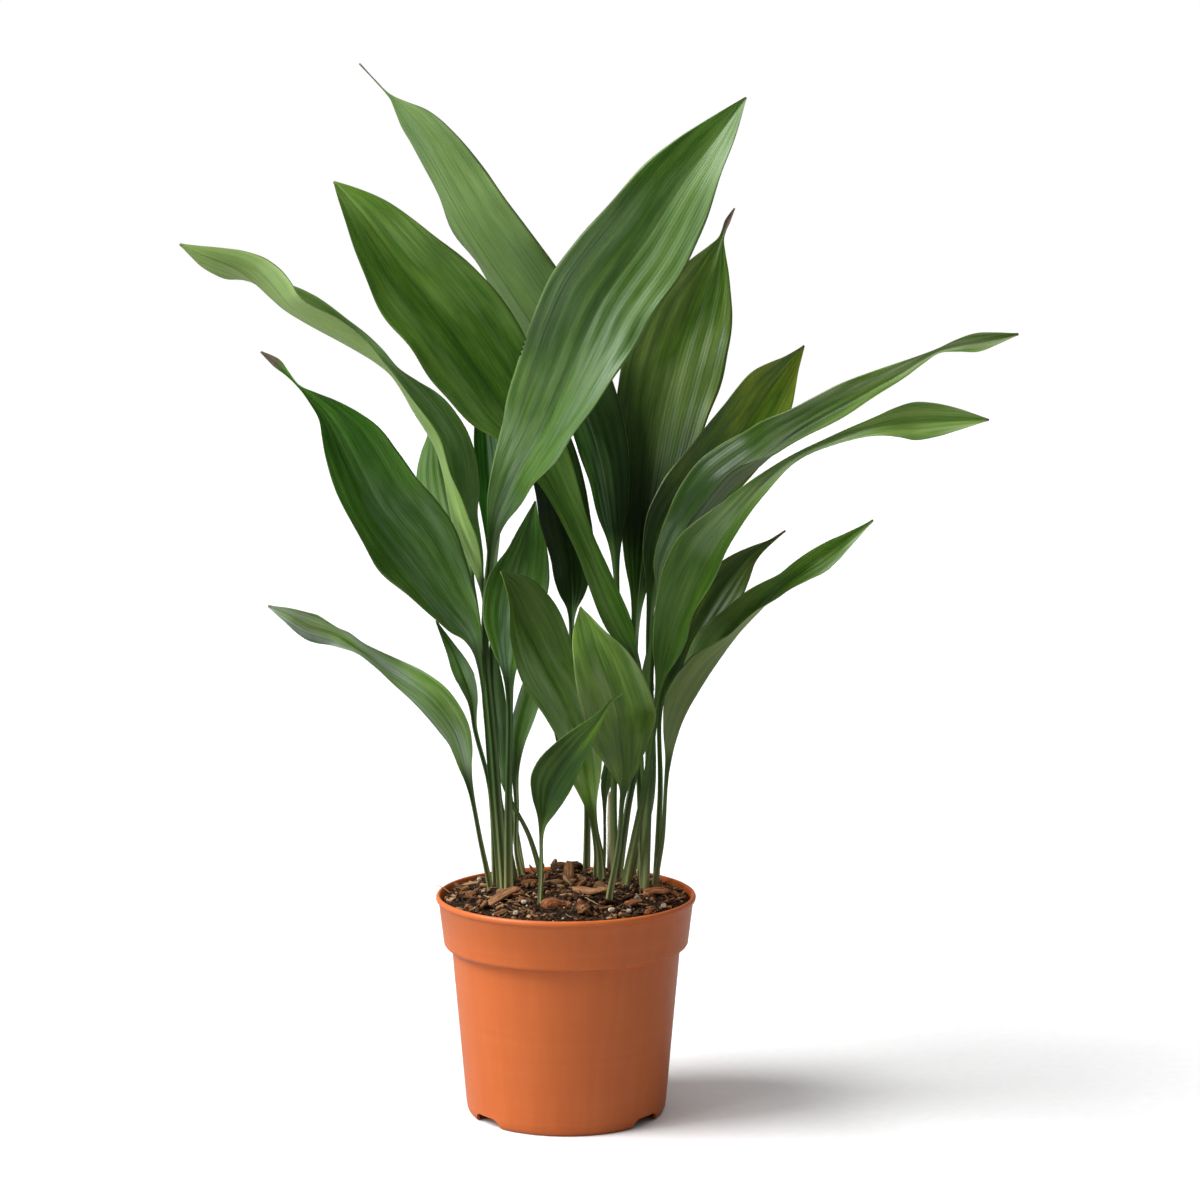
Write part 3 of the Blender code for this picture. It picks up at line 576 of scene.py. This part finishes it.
# ---- pot ---------------------------------------------------------------------------------------
# outline of the wall in millimetres, (radius, height): up the outside, over the lip and down the inside
POT_OUTLINE_MM = [
    (60.9, 0.0), (62.6, 0.0), (63.7, 0.5), (64.5, 1.5), (65.3, 3.6), (65.9, 7.5),
    (74.6, 107.0), (74.9, 109.0), (75.5, 110.2), (76.5, 110.8), (78.2, 111.3), (79.3, 112.0), (79.9, 113.0),
    (80.1, 114.3), (83.3, 140.3), (83.8, 140.9), (84.7, 141.5), (85.0, 142.3), (85.0, 143.5), (84.6, 144.4),
    (83.8, 144.95), (83.2, 144.95), (82.6, 144.5), (82.3, 143.4),
    (78.6, 115.3), (78.2, 113.6), (77.0, 112.8), (74.4, 112.1), (73.6, 111.0), (73.3, 108.8),
    (64.6, 10.2), (64.0, 9.0), (0.0, 9.0), (0.0, 7.6), (63.9, 7.6), (63.7, 4.6), (62.9, 2.6), (61.7, 1.0),
]
NOTCH_ANGLES = (53.0, 127.0, 233.0, 307.0)    # degrees from the front, turning to the right
NOTCH_HALF_MM, NOTCH_HEIGHT_MM = 13.0, 6.3
DRAIN_COUNT, DRAIN_RING_MM, DRAIN_RADIUS_MM = 8, 40.0, 5.0
POT_SEGMENTS = 240


def turned(outline, segments):
    """bmesh of an outline turned around the pot's axis."""
    bm = bmesh.new()
    points = [bm.verts.new((r * MM, 0.0, z * MM)) for r, z in outline]
    edges = [bm.edges.new((a, b)) for a, b in zip(points, points[1:] + points[:1]) if a.co.x or b.co.x]
    bmesh.ops.spin(bm, geom=points + edges, angle=2 * pi, steps=segments, axis=(0, 0, 1), cent=(0, 0, 0))
    bmesh.ops.remove_doubles(bm, verts=bm.verts, dist=1e-6)
    bmesh.ops.recalc_face_normals(bm, faces=bm.faces)
    return bm


def notch_profile():
    """Arch of a foot notch: sloping flanks that round over into a level top."""
    right = [(NOTCH_HALF_MM, -1.0), (NOTCH_HALF_MM, 0.0)]
    for k in range(7):
        a = radians(15 + 75 * k / 6)
        right.append((NOTCH_HALF_MM - 6.5 + 6.5 * cos(a), NOTCH_HEIGHT_MM - 6.3 + 6.3 * sin(a)))
    return right + [(-x, z) for x, z in reversed(right)]


def cutter(bm, name):
    mesh = bpy.data.meshes.new(name)
    bmesh.ops.recalc_face_normals(bm, faces=bm.faces)
    bm.to_mesh(mesh)
    bm.free()
    obj = bpy.data.objects.new(name, mesh)
    bpy.context.scene.collection.objects.link(obj)
    return obj


def pot_cutters():
    tools = []
    for angle in NOTCH_ANGLES:
        bm = bmesh.new()
        face = bm.faces.new([bm.verts.new((54 * MM, y * MM, z * MM)) for y, z in notch_profile()])
        moved = bmesh.ops.extrude_face_region(bm, geom=[face])["geom"]
        moved = [v for v in moved if isinstance(v, bmesh.types.BMVert)]
        bmesh.ops.translate(bm, vec=(18 * MM, 0, 0), verts=moved)
        bmesh.ops.rotate(bm, verts=bm.verts, matrix=Matrix.Rotation(radians(angle - 90), 3, "Z"))
        tools.append(cutter(bm, "notch_tool"))
    for k in range(DRAIN_COUNT):
        a = 2 * pi * (k + 0.5) / DRAIN_COUNT
        bm = bmesh.new()
        bmesh.ops.create_cone(bm, cap_ends=True, segments=48, radius1=DRAIN_RADIUS_MM * MM,
                              radius2=DRAIN_RADIUS_MM * MM, depth=6 * MM)
        where = Vector((DRAIN_RING_MM * cos(a), DRAIN_RING_MM * sin(a), 8.3)) * MM
        bmesh.ops.translate(bm, vec=where, verts=bm.verts)
        tools.append(cutter(bm, "drain_tool"))
    return tools


def build_pot(material):
    """Pot turned finely, cut with the EXACT solver, moved to the CAD pot's axis."""
    bm = turned(POT_OUTLINE_MM, POT_SEGMENTS)
    body = cutter(bm, "pot_body")
    tools = pot_cutters()
    for tool in tools:
        cut = body.modifiers.new("cut", "BOOLEAN")
        cut.operation, cut.solver, cut.object = "DIFFERENCE", "EXACT", tool
    bpy.context.view_layer.update()
    mesh = bpy.data.meshes.new_from_object(body.evaluated_get(bpy.context.evaluated_depsgraph_get()))
    for obj in tools + [body]:
        bpy.data.objects.remove(obj)
    mesh.transform(Matrix.Translation(AXIS))
    mesh.shade_smooth()
    mesh.set_sharp_from_angle(angle=radians(42))
    mesh.materials.clear()
    mesh.materials.append(material)
    pot = bpy.data.objects.new("pot_moulding", mesh)
    bpy.context.scene.collection.objects.link(pot)
    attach(pot, "root")
    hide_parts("pot")
    return pot


# ---- growing medium ----------------------------------------------------------------------------
SOIL_RADIUS = 80.4 * MM
SOIL_GRID = 1.0 * MM
SOIL_EDGE_Z, SOIL_MOUND = 137.0 * MM, 6.5 * MM
SOIL_LIFT = 4.0 * MM             # mean height of the rough crust over the CAD soil
BARK_COUNT, CRUMB_COUNT, GRIT_COUNT, FIBRE_COUNT = 330, 900, 46, 170


def soil_base(x, y):
    """Height of the smooth mound at a distance (x, y) from the pot's axis."""
    r = np.hypot(x, y)
    return SOIL_EDGE_Z + SOIL_MOUND * (1 - np.minimum(1, (r / SOIL_RADIUS) ** 2))


def soil_top(x, y):
    """Height of the rough surface: clods, crumbs and a little noise."""
    p = np.stack([x, y, np.zeros_like(x)], axis=-1)
    clods = bumps(p, 11 * MM, 1) * 1.7 * MM
    crumbs = np.abs(bumps(p, 4.5 * MM, 2)) * 2.2 * MM + bumps(p, 2.2 * MM, 3) * 0.7 * MM
    wall = step_up(np.hypot(x, y), SOIL_RADIUS - 6 * MM, SOIL_RADIUS)
    return soil_base(x, y) + SOIL_LIFT + clods * (1 - 0.5 * wall) + crumbs * (1 - 0.5 * wall)


def build_soil_top(material):
    """Rough crust over the CAD soil, with a skirt that goes down along the pot's wall."""
    n = int(SOIL_RADIUS / SOIL_GRID) + 1
    rings = [SOIL_RADIUS * k / n for k in range(1, n + 1)]
    vertices = [(0.0, 0.0, float(soil_top(np.array(0.0), np.array(0.0))))]
    spokes = 288
    for radius in rings:
        a = np.arange(spokes) * 2 * pi / spokes
        x, y = radius * np.cos(a), radius * np.sin(a)
        vertices += list(zip(x, y, soil_top(x, y)))
    a = np.arange(spokes) * 2 * pi / spokes
    low = np.full(spokes, SOIL_EDGE_Z - 5 * MM)
    vertices += list(zip((SOIL_RADIUS - 1.2 * MM) * np.cos(a), (SOIL_RADIUS - 1.2 * MM) * np.sin(a), low))
    faces = [(0, 1 + k, 1 + (k + 1) % spokes) for k in range(spokes)]
    for ring in range(n):
        start_at, next_at = 1 + ring * spokes, 1 + (ring + 1) * spokes
        for k in range(spokes):
            m = (k + 1) % spokes
            faces.append((start_at + k, next_at + k, next_at + m, start_at + m))
    faces.append(tuple(reversed(range(1 + n * spokes, 1 + (n + 1) * spokes))))
    vertices = np.array(vertices) + np.array(AXIS)
    piece = new_piece("soil_surface", vertices, faces, material)
    face_outwards(piece)
    return piece


def unit_lump(detail):
    """Vertices and faces of a unit sphere of triangles."""
    bm = bmesh.new()
    bmesh.ops.create_icosphere(bm, subdivisions=detail, radius=0.5)
    vertices = np.array([v.co for v in bm.verts], float)
    faces = [tuple(v.index for v in f.verts) for f in bm.faces]
    bm.free()
    return vertices, faces


class Pile:
    """Many small solids gathered in one mesh."""

    def __init__(self):
        self.vertices, self.faces, self.place, self.tint = [], [], [], []
        self.count = 0

    def drop(self, vertices, faces, place, tint):
        self.faces += [tuple(i + self.count for i in f) for f in faces]
        self.vertices.append(vertices)
        self.place.append(place)
        self.tint.append(np.tile(tint, (len(vertices), 1)))
        self.count += len(vertices)

    def piece(self, name, material, slot, smooth=False, replaced=()):
        values = {"chip_place": np.concatenate(self.place), "chip_tint": np.concatenate(self.tint)}
        vertices = np.concatenate(self.vertices)
        return new_piece(name, vertices, self.faces, material, replaced, smooth, values)


def chip_shape(base, size, seed, boxy=0.62):
    """Split piece of bark: squared, ridged along its length and torn at its ends."""
    p = base.copy()
    p[:, :3] = np.sign(p) * 0.5 * np.abs(2 * p) ** [boxy, boxy, boxy + 0.1]
    taper = 1 + 0.35 * np.sin(seed + 3.0 * p[:, :1]) * np.abs(p[:, :1])
    p[:, 1:] *= taper
    q = p * size / MM
    shift = np.array([seed * 3.1, seed * 1.7, seed])
    ridges = bumps(q * [0.25, 1.0, 1.0] + shift, 1.7, 7)
    torn = bumps(q * [0.4, 1.0, 1.0] + shift, 3.1, 8)
    out = p * size
    scale = min(size)
    normal = base / np.linalg.norm(base, axis=1)[:, None]
    out = out + normal * (ridges * 0.16 * scale)[:, None]
    out[:, 0] += torn * 0.10 * size[0] * np.abs(2 * base[:, 0]) ** 3
    out[:, 2] += 0.08 * size[0] * np.sin(seed) * (2 * p[:, 0]) ** 2
    return out, q


def turn_matrix(heading, tilt, roll=0.0):
    turn = Matrix.Rotation(heading, 3, "Z") @ Matrix.Rotation(-tilt, 3, "Y") @ Matrix.Rotation(roll, 3, "X")
    return np.array(turn)


def settle(points, x, y, sink):
    """Move a solid so that it rests at (x, y) from the pot's axis, sunk a little into the surface."""
    moved = points + [x, y, 0.0]
    ground = soil_top(moved[:, 0], moved[:, 1])
    gap = moved[:, 2] - ground
    drop = np.percentile(gap, 22)
    moved[:, 2] -= drop + sink
    return moved + np.array(AXIS)


CHIP_LOOKS = {
    "bark_long": (0.75, 1.15), "bark_pink": (0.9, 1.25), "bark_round_front": (1.0, 0.95),
    "bark_red_right": (1.0, 1.05), "bark_black_back": (0.2, 0.35), "bark_grey_upright": (0.3, 1.1),
    "bark_brown_front": (0.4, 0.9), "bark_red_left": (0.9, 0.9), "bark_fibrous": (0.2, 1.25),
    "bark_small_back": (0.3, 0.8), "bark_left_edge": (0.5, 0.8), "bark_right_front": (0.8, 1.0),
    "straw_left": (0.1, 1.6),
}


def build_named_chips(material):
    """The larger chips: each CAD chip's own axes and size, with split faces and torn ends."""
    base, faces = unit_lump(4)
    for number, (node, (hue, light)) in enumerate(CHIP_LOOKS.items()):
        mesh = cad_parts[node].data
        cloud = np.array([v.co for v in mesh.vertices], float)
        middle = (cloud.min(axis=0) + cloud.max(axis=0)) / 2
        axes = np.linalg.svd(cloud - cloud.mean(axis=0), full_matrices=False)[2]
        local = (cloud - middle) @ axes.T
        size = local.max(axis=0) - local.min(axis=0)
        shape, place = chip_shape(base, size * [1.0, 0.95, 0.9], 1.7 * number + 0.6)
        pile = Pile()
        middle = middle + [0, 0, SOIL_LIFT]
        pile.drop(shape @ axes + middle, faces, place, (hue, light, 9.0 * number))
        pile.piece(node + "_piece", material, "bark", True, [node])


def build_bark_bits(material):
    """Smaller bark and wood over the whole surface."""
    base, faces = unit_lump(3)
    pile = Pile()
    for number in range(BARK_COUNT):
        radius, a = SOIL_RADIUS * 0.97 * rng.random() ** 0.5, rng.random() * 2 * pi
        length = (3.0 + 9.0 * rng.random() ** 2.2) * MM
        size = np.array([length, length * rng.uniform(0.3, 0.62), length * rng.uniform(0.14, 0.34)])
        shape, place = chip_shape(base, size, rng.random() * 40)
        turn = turn_matrix(rng.random() * 2 * pi, rng.normal() * 0.30, rng.normal() * 0.45)
        radius = min(radius, SOIL_RADIUS - 0.55 * length)
        spot = settle(shape @ turn.T, radius * cos(a), radius * sin(a), 0.0)
        light = rng.choice([0.25, 0.7, 1.0, 1.25, 1.5], p=[0.22, 0.12, 0.26, 0.22, 0.18])
        pile.drop(spot, faces, place, (rng.random(), light, number * 3.7))
    return pile.piece("soil_bark_bits", material, "bark", True)


def build_crumbs(material):
    """Crumbs of peat and rotted bark."""
    base, faces = unit_lump(2)
    pile = Pile()
    for number in range(CRUMB_COUNT):
        radius, a = SOIL_RADIUS * 0.985 * rng.random() ** 0.5, rng.random() * 2 * pi
        length = (1.2 + 2.4 * rng.random() ** 1.6) * MM
        size = np.array([length, length * rng.uniform(0.55, 0.95), length * rng.uniform(0.45, 0.8)])
        shape, place = chip_shape(base, size, rng.random() * 40, 0.8)
        turn = turn_matrix(rng.random() * 2 * pi, rng.normal() * 0.5, rng.normal() * 0.5)
        radius = min(radius, SOIL_RADIUS - 0.6 * length)
        spot = settle(shape @ turn.T, radius * cos(a), radius * sin(a), -0.2 * length)
        light = rng.choice([0.15, 0.35, 0.6, 0.9, 1.2], p=[0.34, 0.26, 0.14, 0.14, 0.12])
        pile.drop(spot, faces, place, (rng.random() * 0.8, light, number * 2.3))
    return pile.piece("soil_crumbs", material, "soil", True)


def build_grit(material):
    """Perlite: the named grains and many smaller ones."""
    base, faces = unit_lump(3)
    for number in range(1, 9):
        node = "perlite_%d" % number
        low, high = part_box(node)
        pile = Pile()
        shape, place = chip_shape(base, np.array(high - low) * [0.9, 0.75, 0.8], 2.1 * number, 0.75)
        pile.drop(shape + np.array((low + high) / 2) + [0, 0, SOIL_LIFT], faces, place, (0, 1, number))
        pile.piece(node + "_grain", material, "perlite", True, [node])
    pile = Pile()
    base, faces = unit_lump(2)
    for number in range(GRIT_COUNT):
        radius, a = SOIL_RADIUS * 0.97 * rng.random() ** 0.5, rng.random() * 2 * pi
        length = (0.8 + 1.5 * rng.random() ** 2) * MM
        size = length * np.array([1.0, rng.uniform(0.7, 1.0), rng.uniform(0.6, 0.9)])
        shape, place = chip_shape(base, size, rng.random() * 40, 0.8)
        turn = turn_matrix(rng.random() * 2 * pi, rng.normal() * 0.5)
        spot = settle(shape @ turn.T, radius * cos(a), radius * sin(a), -0.25 * length)
        pile.drop(spot, faces, place, (0, 1, number))
    return pile.piece("soil_perlite", material, "perlite", True)


def tube(points, radius, sides=5):
    """Vertices and faces of a thin closed tube through the points, narrower towards its ends."""
    points = np.asarray(points)
    way = np.gradient(points, axis=0)
    way /= np.linalg.norm(way, axis=1)[:, None]
    side = np.cross(way, [0.13, 0.21, 0.97])
    side /= np.linalg.norm(side, axis=1)[:, None]
    other = np.cross(way, side)
    n = len(points)
    taper = 1 - 0.75 * np.abs(np.linspace(-1, 1, n)) ** 3
    vertices, faces = [], []
    for k in range(sides):
        a = 2 * pi * k / sides
        vertices.append(points + (radius * taper)[:, None] * (cos(a) * side + sin(a) * other))
    vertices = np.stack(vertices, axis=1).reshape(-1, 3)
    for i in range(n - 1):
        for k in range(sides):
            m = (k + 1) % sides
            faces.append((i * sides + k, i * sides + m, (i + 1) * sides + m, (i + 1) * sides + k))
    faces.append(tuple(reversed(range(sides))))
    faces.append(tuple((n - 1) * sides + k for k in range(sides)))
    return vertices, faces


def build_fibres(material):
    """Root hairs, coir and splinters lying over the chips."""
    pile = Pile()
    for number in range(FIBRE_COUNT):
        radius, a = SOIL_RADIUS * 0.95 * rng.random() ** 0.5, rng.random() * 2 * pi
        length = (5 + 17 * rng.random() ** 1.6) * MM
        heading, bend = rng.random() * 2 * pi, rng.normal() * 40
        t = np.linspace(-0.5, 0.5, 12) * length
        course = heading + bend * t
        x = radius * cos(a) + np.cumsum(np.cos(course)) * length / 12
        y = radius * sin(a) + np.cumsum(np.sin(course)) * length / 12
        reach = np.hypot(x, y)
        shrink = np.minimum(1, (SOIL_RADIUS - 1 * MM) / reach)
        x, y = x * shrink, y * shrink
        z = soil_top(x, y).max() * 0.6 + soil_top(x, y) * 0.4 + rng.uniform(0.2, 1.6) * MM
        z = z + rng.normal() * 0.06 * t
        vertices, faces = tube(np.stack([x, y, z], axis=1) + np.array(AXIS), rng.uniform(0.12, 0.34) * MM)
        place = np.stack([np.arange(len(vertices)) * 0.3, vertices[:, 1] * 0, vertices[:, 2] * 0], axis=1)
        pile.drop(vertices, faces, place, (rng.random() * 0.4, rng.uniform(0.7, 1.8), number))
    return pile.piece("soil_fibres", material, "bark", True)


def build_rim_hairs(material):
    """Two pale root hairs that stand over the left of the lip."""
    pile = Pile()
    for number, (x, y, lean) in enumerate([(-74, 12, -14), (-66, 2, 10)]):
        t = np.linspace(0, 1, 16)
        points = np.stack([x + lean * t**1.5, y + 5 * t, 138 + 13 * t - 4 * t**3], axis=1) * MM
        vertices, faces = tube(points + np.array(AXIS), 0.28 * MM)
        place = np.stack([np.arange(len(vertices)) * 0.2, vertices[:, 1] * 0, vertices[:, 2] * 0], axis=1)
        pile.drop(vertices, faces, place, (0.0, 1.75, number))
    return pile.piece("soil_hairs", material, "bark", True)


def build_stub(material):
    """Dried sheath: thin scroll of dead tissue around its CAD stub, torn at the top."""
    low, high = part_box("dried_stub")
    middle = (low + high) / 2
    rows, sides = 40, 22
    vertices, faces = [], []
    for i in range(rows):
        t = i / (rows - 1)
        z = low.z - 5 * MM + (high.z - low.z + 5 * MM) * t
        radius = (3.3 - 1.3 * t - 1.0 * max(0.0, t - 0.75) * 4 * 0.7) * MM
        for k in range(sides):
            a = 2 * pi * k / sides
            wrinkle = 1 + 0.13 * sin(3 * a + 2.0 * t)
            wrinkle += 0.08 * perlin.noise(Vector((cos(a) * 2, sin(a) * 2, t * 6)))
            x = middle.x + (1.2 - 2.2 * t) * MM * 0.8 + radius * wrinkle * cos(a)
            y = middle.y + 0.62 * radius * wrinkle * sin(a)
            vertices.append((x, y, z + (0.8 * MM * sin(5 * a) if i == rows - 1 else 0)))
    for i in range(rows - 1):
        for k in range(sides):
            m = (k + 1) % sides
            faces.append((i * sides + k, i * sides + m, (i + 1) * sides + m, (i + 1) * sides + k))
    faces.append(tuple(reversed(range(sides))))
    faces.append(tuple((rows - 1) * sides + k for k in range(sides)))
    return new_piece("dried_stub_sheath", vertices, faces, material, ["dried_stub"])


# ---- studio ------------------------------------------------------------------------------------
FLOOR_REACH = 8.0
FLOOR_RETURN = 0.45              # how pale the floor is to the light that it throws back
SUN_STRENGTH, SUN_SPREAD, SUN_WAY = 3.8, 32.0, (1.0, 0.20, -1.15)
SOFTBOX_PLACE, SOFTBOX_SIZE, SOFTBOX_WATTS = (-1.65, -1.25, 1.05), (0.9, 1.3), 20
LIGHT_TARGET = (0.02, 0.0, 0.25)
SKY_LOW, SKY_RISE = 0.07, 0.72   # surround's strength at the horizon, and what it gains overhead
SKY_IN_GLOSS = 0.24              # surround's strength in reflections
CAMERA_PLACE = (0.0, -1.93, 0.571)            # from the foot of the pot's axis
CAMERA_DOWN, CAMERA_RIGHT = 6.88, 0.66        # degrees
CAMERA_LENS, CAMERA_SENSOR = 90.09, 36.0


def build_stage():
    """Pale floor that fades into a white surround and throws back less light than it shows."""
    mesh = bpy.data.meshes.new("floor")
    signs = [(-1, -1, 0), (1, -1, 0), (1, 1, 0), (-1, 1, 0)]
    mesh.from_pydata([FLOOR_REACH * Vector(c) + AXIS for c in signs], [], [(0, 1, 2, 3)])
    mat, tree, shader = start("studio_floor")
    place = add(tree, "TexCoord").outputs["Object"]
    paper = grain(tree, place, 120.0, 3.0)
    colour = ramp(tree, paper, [(0.3, 0.90), (0.7, 0.93)])
    finish(mat, colour, ramp(tree, paper, [(0.3, 0.85), (0.7, 0.95)]), bump(tree, paper, 0.0001, 0.2))
    shader.inputs["Specular IOR Level"].default_value = 0.1
    absorbing = add(tree, "BsdfDiffuse", {"Color": (FLOOR_RETURN, FLOOR_RETURN, FLOOR_RETURN, 1.0)})
    seen = add(tree, "LightPath").outputs["Is Camera Ray"]
    both = add(tree, "MixShader", {0: seen, 1: absorbing.outputs[0], 2: shader.outputs[0]})
    tree.links.new(both.outputs[0], tree.nodes["Material Output"].inputs["Surface"])
    mesh.materials.append(mat)
    floor = bpy.data.objects.new("floor", mesh)
    bpy.context.scene.collection.objects.link(floor)


def area_light(name, where, size, power, aim):
    data = bpy.data.lights.new(name, "AREA")
    data.shape = "RECTANGLE"
    data.size, data.size_y = size
    data.energy = power
    lamp = bpy.data.objects.new(name, data)
    lamp.location = where
    lamp.rotation_euler = (Vector(aim) - Vector(where)).to_track_quat("-Z", "Y").to_euler()
    bpy.context.scene.collection.objects.link(lamp)
    return lamp


def build_lights():
    """Soft key from the upper left, a softbox on the left of the camera, and a white surround."""
    aim = AXIS + Vector(LIGHT_TARGET)
    key = bpy.data.lights.new("key", "SUN")
    key.energy, key.angle = SUN_STRENGTH, radians(SUN_SPREAD)
    lamp = bpy.data.objects.new("key", key)
    lamp.rotation_euler = Vector(SUN_WAY).to_track_quat("-Z", "Y").to_euler()
    bpy.context.scene.collection.objects.link(lamp)
    area_light("softbox", AXIS + Vector(SOFTBOX_PLACE), SOFTBOX_SIZE, SOFTBOX_WATTS, aim)
    world = bpy.data.worlds.new("studio")
    world.use_nodes = True
    tree = world.node_tree
    light = tree.nodes["Background"]
    light.inputs["Color"].default_value = (1.0, 1.0, 1.0, 1.0)
    way = add(tree, "TexCoord").outputs["Generated"]
    height = add(tree, "SeparateXYZ", {0: way}).outputs[2]
    height = calc(tree, "MULTIPLY", height, calc(tree, "MAXIMUM", height, 0.0))
    strength = calc(tree, "ADD", SKY_LOW, calc(tree, "MULTIPLY", height, SKY_RISE))
    tree.links.new(strength, light.inputs["Strength"])
    white = add(tree, "Background", {"Color": (1.0, 1.0, 1.0, 1.0), "Strength": 1.0})
    seen = add(tree, "LightPath")
    sheen = add(tree, "Background", {"Color": (1.0, 1.0, 1.0, 1.0), "Strength": SKY_IN_GLOSS})
    for ray, source in (("Is Glossy Ray", sheen), ("Is Camera Ray", white)):
        light = add(tree, "MixShader", {0: seen.outputs[ray], 1: light.outputs[0], 2: source.outputs[0]})
    tree.links.new(light.outputs[0], tree.nodes["World Output"].inputs["Surface"])
    bpy.context.scene.world = world


def build_camera():
    """Camera in front of the pot, a little above the middle of the leaves."""
    data = bpy.data.cameras.new("camera")
    data.sensor_width = CAMERA_SENSOR
    data.lens = CAMERA_LENS
    camera = bpy.data.objects.new("camera", data)
    camera.location = AXIS + Vector(CAMERA_PLACE)
    camera.rotation_euler = (radians(90 - CAMERA_DOWN), 0.0, radians(-CAMERA_RIGHT))
    bpy.context.scene.collection.objects.link(camera)
    bpy.context.scene.camera = camera


def build():
    leaf = leaf_material()
    for number, (node, look) in enumerate(LEAF_LOOKS.items()):
        build_leaf(node, look, leaf, 1.0 + 2.4 * number)
    build_pot(pot_material())
    soil = soil_material()
    bark = bark_material()
    grit = grit_material()
    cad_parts["soil"].data.materials.clear()
    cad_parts["soil"].data.materials.append(soil)
    build_soil_top(soil)
    build_named_chips(bark)
    build_bark_bits(bark)
    build_crumbs(bark)
    build_grit(grit)
    build_fibres(bark)
    build_rim_hairs(bark)
    build_stub(dry_material())
    build_stage()
    build_lights()
    build_camera()
    scene = bpy.context.scene
    scene.view_settings.view_transform = "Standard"
    scene.view_settings.look = "None"


build()
